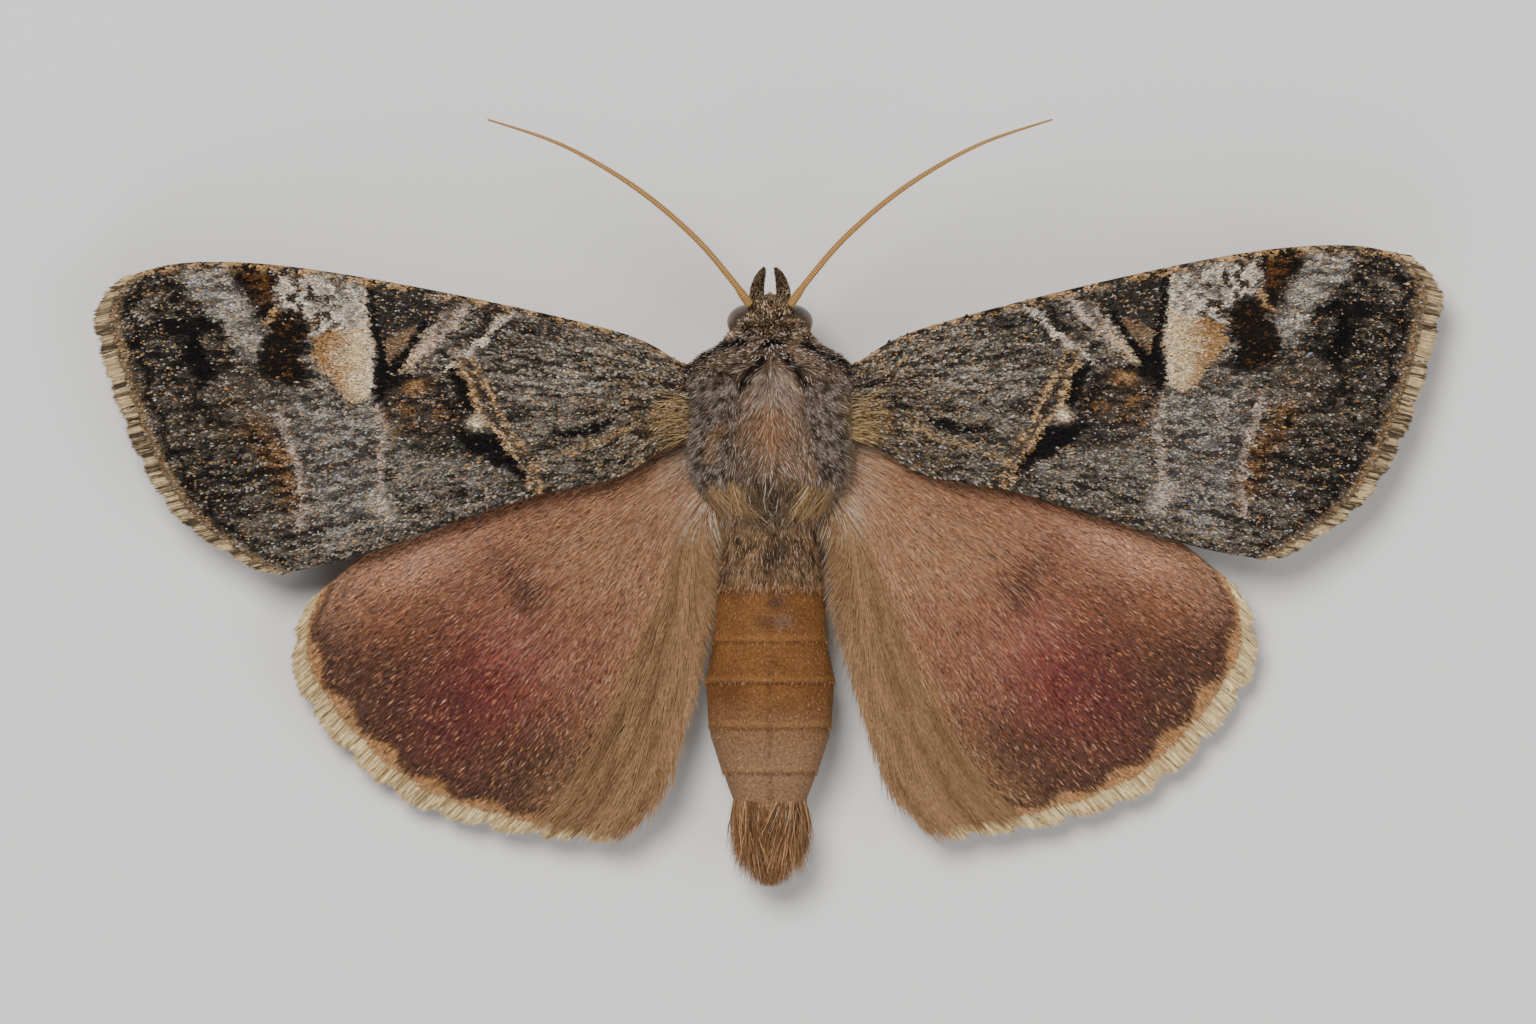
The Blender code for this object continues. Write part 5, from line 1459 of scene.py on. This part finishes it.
def tail_brush(material):
    """A broad flat brush, with a dark line of painted shade along the middle of its top for the parting."""
    rng = np.random.default_rng(25)
    y, angle = body_spots(8.7, 10.45, COUNTS["tail_tufts"], rng)
    x = body_point(y, angle)[:, 0]
    reach = np.minimum(rng.uniform(0.9, 1.7, len(y)), TAIL_END_Y - y)
    colour = speckled(body_colour(y + 0.7, angle), rng, 0.08, 0.12, srgb(206, 176, 140), spread=0.28)
    # Painted shade: the parting is not shaped. The middle of the top is only darkened where the hair would
    # part.
    part = smooth(0.12, 0.0, np.abs(x)) * (np.sin(angle) > 0)
    colour = mix(colour, srgb(70, 46, 30) * np.ones_like(colour), part * 0.7)
    flare = 0.16 + 0.5 * np.abs(np.cos(angle)) * smooth(10.5, 9.9, y)
    width = rng.uniform(0.028, 0.048, len(y))
    rise = flare * rng.uniform(0.6, 1.3, len(y))
    coat("tail_brush", y, angle, reach, width, rise, 1.0, 0.0, colour, material,
         rng, 0.24, 2)


def speckled_scales(count, rng, cream_share=0.26):
    """Cream, brown and dark scale colours for face, palps and legs."""
    draw = rng.random(count)
    colour = mix(srgb(46, 34, 24), srgb(104, 80, 58), rng.random(count))
    cream = draw < cream_share
    colour[cream] = mix(srgb(130, 102, 74), srgb(202, 176, 142), rng.random(cream.sum()))
    colour[draw > 0.82] = srgb(24, 17, 12)
    return colour


def head_coat(material):
    """Small overlapping speckled scales over crown, face and cheeks, with a little hair on the brow."""
    rng = np.random.default_rng(26)
    y, angle = body_spots(-6.21, -5.3, COUNTS["head_scales"], rng)
    place = body_point(y, angle)
    clear = np.minimum.reduce(
        [np.linalg.norm((place - np.array([sx * EYE_CENTRE_X, EYE_DOME_Y, EYE_CENTRE_Z])) / EYE_RADII, axis=1)
         for sx in (1, -1)]
    )
    keep = clear > 0.98
    y, angle, place = y[keep], angle[keep], place[keep]
    count = len(y)
    out = body_normal(y, angle)
    front = unit(body_point(y - 0.05, angle) - place)
    aside = np.cross(front, out)
    ahead = front * np.where(y < -5.55, 1.0, -0.6)[:, None] + aside * rng.normal(0, 0.5, count)[:, None]
    ahead += out * rng.uniform(0.1, 0.5, count)[:, None]
    ahead, out = laid(ahead, out)
    obj = flat_scales("head_scales", place, ahead, out, rng.uniform(0.12, 0.22, count),
                      rng.uniform(0.035, 0.055, count), speckled_scales(count, rng), body_uv(y, angle),
                      rng.uniform(0.01, 0.05, count), 0.65)
    dress(obj, material)
    y, angle = body_spots(-6.21, -5.85, COUNTS["brow_tufts"], rng, (0.1, math.pi - 0.1))
    colour = speckled_scales(len(y), rng)
    coat("brow_hair", y, angle, rng.uniform(0.12, 0.24, len(y)), rng.uniform(0.028, 0.042, len(y)),
         rng.uniform(0.3, 0.8, len(y)), -1.0, 0.0, colour, material, rng)


def banded(colour, share, bands, rng):
    """Pale rings at the given shares of a limb."""
    for place, half_width in bands:
        ring = (np.abs(share - place) < half_width) & (rng.random(len(share)) < 0.85)
        colour[ring] = mix(srgb(150, 124, 92), srgb(204, 180, 146), rng.random(ring.sum()))
    return colour


LEG_BANDS = ((0.36, 0.015), (0.5, 0.02), (0.655, 0.018), (0.72, 0.012), (0.79, 0.01), (0.86, 0.01),
             (0.93, 0.01))


def tube_scales(name, tube, size, material, seed, cream_share, bands=()):
    """Overlapping scales all over a tube, lying towards its end."""
    rng = np.random.default_rng(seed)
    path, radii = tube
    length, width = size
    count = COUNTS["limb_scales"]
    share = (np.arange(count) + rng.random(count)) / count
    place = share * (len(path) - 1)
    low = np.minimum(place.astype(int), len(path) - 2)
    part = (place - low)[:, None]
    centre = path[low] * (1 - part) + path[low + 1] * part
    radius = radii[low] * (1 - part[:, 0]) + radii[low + 1] * part[:, 0]
    tangent = unit(path[low + 1] - path[low])
    aside = unit(np.cross(tangent, UP))
    upward = np.cross(aside, tangent)
    turn = rng.uniform(0, 2 * math.pi, count)
    out = np.cos(turn)[:, None] * aside + np.sin(turn)[:, None] * upward
    root = centre + out * radius[:, None]
    ahead, out = laid(tangent + out * rng.uniform(0.02, 0.15, count)[:, None], out)
    reach = length * rng.uniform(0.7, 1.25, count)
    low_end = np.minimum(root[:, 2], root[:, 2] + ahead[:, 2] * reach)
    root[:, 2] += np.maximum(0.05 - low_end, 0.0)
    uv = np.column_stack([0.01 + 0.98 * share, 0.01 + 0.98 * turn / (2 * math.pi)])
    obj = flat_scales(name, root, ahead, out, reach, width * rng.uniform(0.75, 1.3, count),
                      banded(speckled_scales(count, rng, cream_share), share, bands, rng), uv,
                      rng.uniform(0.01, 0.04, count), 0.6)
    dress(obj, material)


def make_coats(hair, scale):
    thorax_coat(hair)
    collar_coat(scale)
    rear_coat(hair)
    abdomen_coat(hair)
    tail_brush(hair)
    head_coat(scale)
    for side in ("left", "right"):
        for index, kind in enumerate(LEGS):
            tube_scales(f"{kind}_{side}_scales", leg_tube(kind, side), (0.21, 0.05), scale,
                        700 + index, 0.38, LEG_BANDS)
        tube_scales(f"palp_{side}_scales", palp_tube(side), (0.17, 0.045), scale, 720, 0.5)


def make_spurs(material):
    for side in ("left", "right"):
        for kind, shares in SPURS.items():
            _, knee, ankle, claw = (np.array(p) for p in LEGS[kind])
            down = (ankle - knee) / np.linalg.norm(ankle - knee)
            aside = np.cross(down, UP)
            aside /= np.linalg.norm(aside)
            to_claw = (claw - ankle) / np.linalg.norm(claw - ankle)
            for number, share in enumerate(shares):
                for turn in (1, -1):
                    heading = down * 0.55 + to_claw * 0.45 + aside * 0.32 * turn
                    heading /= np.linalg.norm(heading)
                    root = knee + (ankle - knee) * share * 0.93
                    path = mirrored(np.array([root + heading * s for s in np.linspace(0, 0.95, 8)]), side)
                    path[:, 2] = np.maximum(path[:, 2], 0.1)
                    tube = tube_arrays(path, np.linspace(0.1, 0.02, 8), 8)
                    colour = mix(srgb(150, 122, 92), srgb(110, 86, 62), np.linspace(0, 1, len(tube[0])))
                    label = f"{kind}_{side}_spur_{number}_{'a' if turn == 1 else 'b'}"
                    tube_piece(label, tube, colour, material)


ANTENNA_PATH = [
    (0.62, -6.02, 4.4), (1.15, -6.75, 4.85), (2.3, -8.05, 5.3), (4.0, -9.45, 5.85), (6.1, -10.65, 6.3),
    (8.3, -11.4, 6.6),
]
ANTENNA_RINGS = 132


def make_antenna(side, material):
    """A feeler of many short rings, thickest at its root."""
    per_ring = 5
    path = mirrored(smooth_path(ANTENNA_PATH, ANTENNA_RINGS * per_ring), side)
    share = np.linspace(0, 1, len(path))
    radius = np.interp(share, [0.0, 0.04, 0.07, 0.5, 0.85, 1.0], [0.125, 0.13, 0.1, 0.085, 0.05, 0.03])
    step = (np.arange(len(path)) % per_ring) / (per_ring - 1)
    radius = radius * (0.88 + 0.16 * np.sin(step * math.pi) ** 0.5)
    tube = tube_arrays(path, radius)
    ring = np.repeat(step, TUBE_SIDES)
    tone = np.concatenate([0.2 + 0.8 * np.sin(ring * math.pi), [0.5, 0.5]])
    colour = mix(srgb(84, 54, 24), srgb(196, 146, 78), tone)
    obj = tube_piece(f"antenna_{side}_rings", tube, colour, material)
    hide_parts(f"antenna_{side}")


EYE_CENTRE_X = 0.62
EYE_DOME_Y = -5.5
EYE_CENTRE_Z = 3.42
EYE_RADII = (0.66, 0.54, 0.66)
EYE_GRID = (48, 96)
RIM_POINTS = 80
RIM_REACH = 1.03
RIM_THICKNESS = 0.05
SIDEWAYS = (1.0, 0.0, 0.0)


def make_eye(side, material, rim_material):
    sign = 1.0 if side == "left" else -1.0
    rows, columns = EYE_GRID
    polar = np.linspace(0, math.pi, rows)
    around = np.arange(columns) * 2 * math.pi / columns
    pp, aa = (g.ravel() for g in np.meshgrid(polar, around, indexing="ij"))
    ball = np.column_stack([np.cos(pp), np.sin(pp) * np.cos(aa), np.sin(pp) * np.sin(aa)])
    centre = np.array([EYE_CENTRE_X, EYE_DOME_Y, EYE_CENTRE_Z])
    verts = centre + ball * np.array(EYE_RADII)
    verts[:, 0] *= sign
    faces = wrapped_faces(np.arange(rows * columns).reshape(rows, columns))
    colour = mix(srgb(100, 70, 44), srgb(70, 59, 49), smooth(0.4, 1.0, pp))
    eye = fresh_mesh(f"eye_{side}_dome", verts, faces, colour)
    merge_poles(eye)
    dress(eye, material)
    face_outward(eye)
    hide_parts(f"eye_{side}")
    turn = np.linspace(0, 2 * math.pi, RIM_POINTS)
    ring = np.column_stack([np.full(RIM_POINTS, 0.02), np.cos(turn) * EYE_RADII[1] * RIM_REACH,
                            np.sin(turn) * EYE_RADII[2] * RIM_REACH])
    path = centre + ring
    path[:, 0] *= sign
    tube = tube_arrays(path, np.full(RIM_POINTS, RIM_THICKNESS), 8, SIDEWAYS)
    colour = np.tile(srgb(112, 76, 44), (len(tube[0]), 1))
    tube_piece(f"eye_{side}_rim", tube, colour, rim_material)


def merge_poles(obj):
    bm = bmesh.new()
    bm.from_mesh(obj.data)
    bmesh.ops.remove_doubles(bm, verts=bm.verts, dist=1e-7)
    bm.to_mesh(obj.data)
    bm.free()


COIL_CENTRE = (0.0, -5.85, 1.45)
COIL_START = [(0.0, -5.5, 2.4), (0.0, -5.65, 2.16)]
COIL_RADIUS = 0.56
COIL_TIGHTENS = 0.4
COIL_TURNS = 3.1
COIL_POINTS = 190
COIL_SIDES = 10


def make_proboscis(material):
    """The tongue, coiled under the face and ringed with fine bands."""
    turns = np.linspace(0, 2 * math.pi * COIL_TURNS, COIL_POINTS)
    radius = COIL_RADIUS - COIL_TIGHTENS * turns / turns[-1]
    coil = np.column_stack([np.zeros(COIL_POINTS), -radius * np.sin(turns), radius * np.cos(turns)])
    path = np.vstack([COIL_START, np.array(COIL_CENTRE) + coil])
    thick = np.linspace(0.085, 0.045, len(path))
    tube = tube_arrays(path, thick, COIL_SIDES, SIDEWAYS)
    ring = np.repeat(np.arange(len(path)) % 2, COIL_SIDES)
    tone = np.concatenate([0.3 + 0.4 * ring, [0.5, 0.5]])
    colour = mix(srgb(112, 78, 46), srgb(176, 132, 84), tone)
    obj = tube_piece("proboscis_coil", tube, colour, material)
    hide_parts("proboscis")


SKIN_BUMP = 0.00003
FACET_BUMP = 0.00001
FACETS_PER_METRE = 30000.0


def set_inputs(node, **values):
    """Sets sockets by name, with _ for a space."""
    for name, value in values.items():
        node.inputs[name.replace("_", " ")].default_value = value


def add_node(nodes, kind, **values):
    node = nodes.new(kind)
    set_inputs(node, **values)
    return node


def node_material(name, roughness, specular, fine_scale, variation, bump=0.0, coat_weight=0.0, grain=None):
    """Colour from the coat_colour attribute, varied by fine noise, with bump from the same noise.

    grain stretches the noise over the skin's own map, so that it runs along the wings like fine scales.
    """
    material = bpy.data.materials.new(name)
    material.use_nodes = True
    nodes, links = material.node_tree.nodes, material.node_tree.links
    shader = nodes["Principled BSDF"]
    set_inputs(shader, Roughness=roughness, Specular_IOR_Level=specular, Coat_Weight=coat_weight)
    attribute = nodes.new("ShaderNodeAttribute")
    attribute.attribute_name = "coat_colour"
    texture = add_node(nodes, "ShaderNodeTexNoise", Scale=fine_scale, Detail=3.0)
    if grain:
        place = nodes.new("ShaderNodeUVMap")
        place.uv_map = "grain"
        stretch = add_node(nodes, "ShaderNodeMapping", Scale=grain)
        links.new(place.outputs["UV"], stretch.inputs["Vector"])
        links.new(stretch.outputs["Vector"], texture.inputs["Vector"])
    else:
        place = nodes.new("ShaderNodeTexCoord")
        links.new(place.outputs["Object"], texture.inputs["Vector"])
    span = add_node(nodes, "ShaderNodeMapRange", From_Min=0.32, From_Max=0.68, To_Min=1.0 - variation,
                    To_Max=1.0 + variation)
    links.new(texture.outputs["Fac"], span.inputs["Value"])
    scaled = nodes.new("ShaderNodeVectorMath")
    scaled.operation = "SCALE"
    links.new(attribute.outputs["Color"], scaled.inputs[0])
    links.new(span.outputs["Result"], scaled.inputs["Scale"])
    links.new(scaled.outputs["Vector"], shader.inputs["Base Color"])
    if bump:
        raised = add_node(nodes, "ShaderNodeBump", Strength=bump, Distance=SKIN_BUMP)
        links.new(texture.outputs["Fac"], raised.inputs["Height"])
        links.new(raised.outputs["Normal"], shader.inputs["Normal"])
    return material


def eye_material():
    """Glossy, with fine packed facets."""
    material = node_material("eye_gloss", 0.2, 0.4, 9000.0, 0.1, 0.0, 0.15)
    nodes, links = material.node_tree.nodes, material.node_tree.links
    shader = nodes["Principled BSDF"]
    place = next(n for n in nodes if n.bl_idname == "ShaderNodeTexCoord")
    cells = add_node(nodes, "ShaderNodeTexVoronoi", Scale=FACETS_PER_METRE)
    links.new(place.outputs["Object"], cells.inputs["Vector"])
    bump = add_node(nodes, "ShaderNodeBump", Strength=0.5, Distance=FACET_BUMP)
    bump.invert = True
    links.new(cells.outputs["Distance"], bump.inputs["Height"])
    links.new(bump.outputs["Normal"], shader.inputs["Normal"])
    return material


FLOOR_HALF_SIZE = 0.6
FLOOR_COLOUR = (0.8, 0.78, 0.75, 1.0)


def make_floor():
    mesh = bpy.data.meshes.new("floor")
    corners = [(x * FLOOR_HALF_SIZE, y * FLOOR_HALF_SIZE, 0) for x, y in ((-1, -1), (1, -1), (1, 1), (-1, 1))]
    mesh.from_pydata(corners, [], [(0, 1, 2, 3)])
    floor = bpy.data.objects.new("floor", mesh)
    bpy.context.scene.collection.objects.link(floor)
    material = bpy.data.materials.new("pale_floor")
    material.use_nodes = True
    shader = material.node_tree.nodes["Principled BSDF"]
    set_inputs(shader, Base_Color=FLOOR_COLOUR, Roughness=0.9)
    floor.data.materials.append(material)


SKY_COLOUR = (0.86, 0.9, 1.0, 1.0)
SKY_STRENGTH = 0.16
# Name, place and size in metres, and power of each light.
LIGHTS = (
    ("key_light", (0.08, -0.13, 0.34), 0.16, 1.45),
    ("fill_light", (-0.25, 0.1, 0.28), 0.3, 0.5),
    ("rear_light", (0.05, 0.3, 0.2), 0.25, 0.36),
)


def make_lights():
    for name, place, size, power in LIGHTS:
        light = bpy.data.lights.new(name, "AREA")
        light.shape = "DISK"
        light.size = size
        light.energy = power
        obj = bpy.data.objects.new(name, light)
        obj.location = place
        obj.rotation_euler = Vector(place).to_track_quat("Z", "Y").to_euler()
        bpy.context.scene.collection.objects.link(obj)
    world = bpy.data.worlds.new("soft_sky")
    world.use_nodes = True
    set_inputs(world.node_tree.nodes["Background"], Color=SKY_COLOUR, Strength=SKY_STRENGTH)
    bpy.context.scene.world = world


CAMERA_HEIGHT = 0.3
SENSOR_MM = 36.0
FOCUS_Z = 3.0


def make_camera():
    camera = bpy.data.cameras.new("photo_camera")
    camera.sensor_width = SENSOR_MM
    frame_width = FRAME_PX[0] * MM_PER_PIXEL
    camera.lens = SENSOR_MM * (CAMERA_HEIGHT / MM - FOCUS_Z) / frame_width
    camera.clip_start = 0.005
    camera.clip_end = 5.0
    obj = bpy.data.objects.new("photo_camera", camera)
    x = (AXIS_PX - FRAME_PX[0] / 2) * MM_PER_PIXEL + SHIFT[0]
    y = (FRAME_PX[1] / 2 - MIDDLE_PX) * MM_PER_PIXEL + SHIFT[1]
    obj.location = (x * MM, y * MM, CAMERA_HEIGHT)
    obj.rotation_euler = (0.0, 0.0, math.pi)
    bpy.context.scene.collection.objects.link(obj)
    bpy.context.scene.camera = obj


def main():
    skin_look = node_material("body_skin", 0.8, 0.12, 14000.0, 0.35, 0.6)
    fore_skin = node_material("forewing_skin", 0.75, 0.12, 1.0, 0.55, 0.6, 0.0, (7.0, 26.0, 1.0))
    hind_skin = node_material("hindwing_skin", 0.75, 0.12, 1.0, 0.35, 0.6, 0.0, (5.0, 34.0, 1.0))
    leg_skin = node_material("leg_skin", 0.7, 0.2, 14000.0, 0.3, 0.4)
    scale_look = node_material("wing_scale", 0.7, 0.1, 18000.0, 0.3)
    hair_look = node_material("coat_hair", 0.65, 0.14, 9000.0, 0.2)
    horn = node_material("horn", 0.42, 0.4, 20000.0, 0.15, 0.3)
    make_skin([skin_look, fore_skin, hind_skin, leg_skin])
    for side in ("left", "right"):
        for kind in ("forewing", "hindwing"):
            wing_scales(kind, side, scale_look)
            wing_fringe(kind, side, hair_look)
        hindwing_hair(side, hair_look)
        forewing_base_hair(side, hair_look)
        make_antenna(side, horn)
        make_eye(side, eye_material(), horn)
    make_coats(hair_look, scale_look)
    make_spurs(horn)
    make_proboscis(horn)
    make_floor()
    make_lights()
    make_camera()


main()
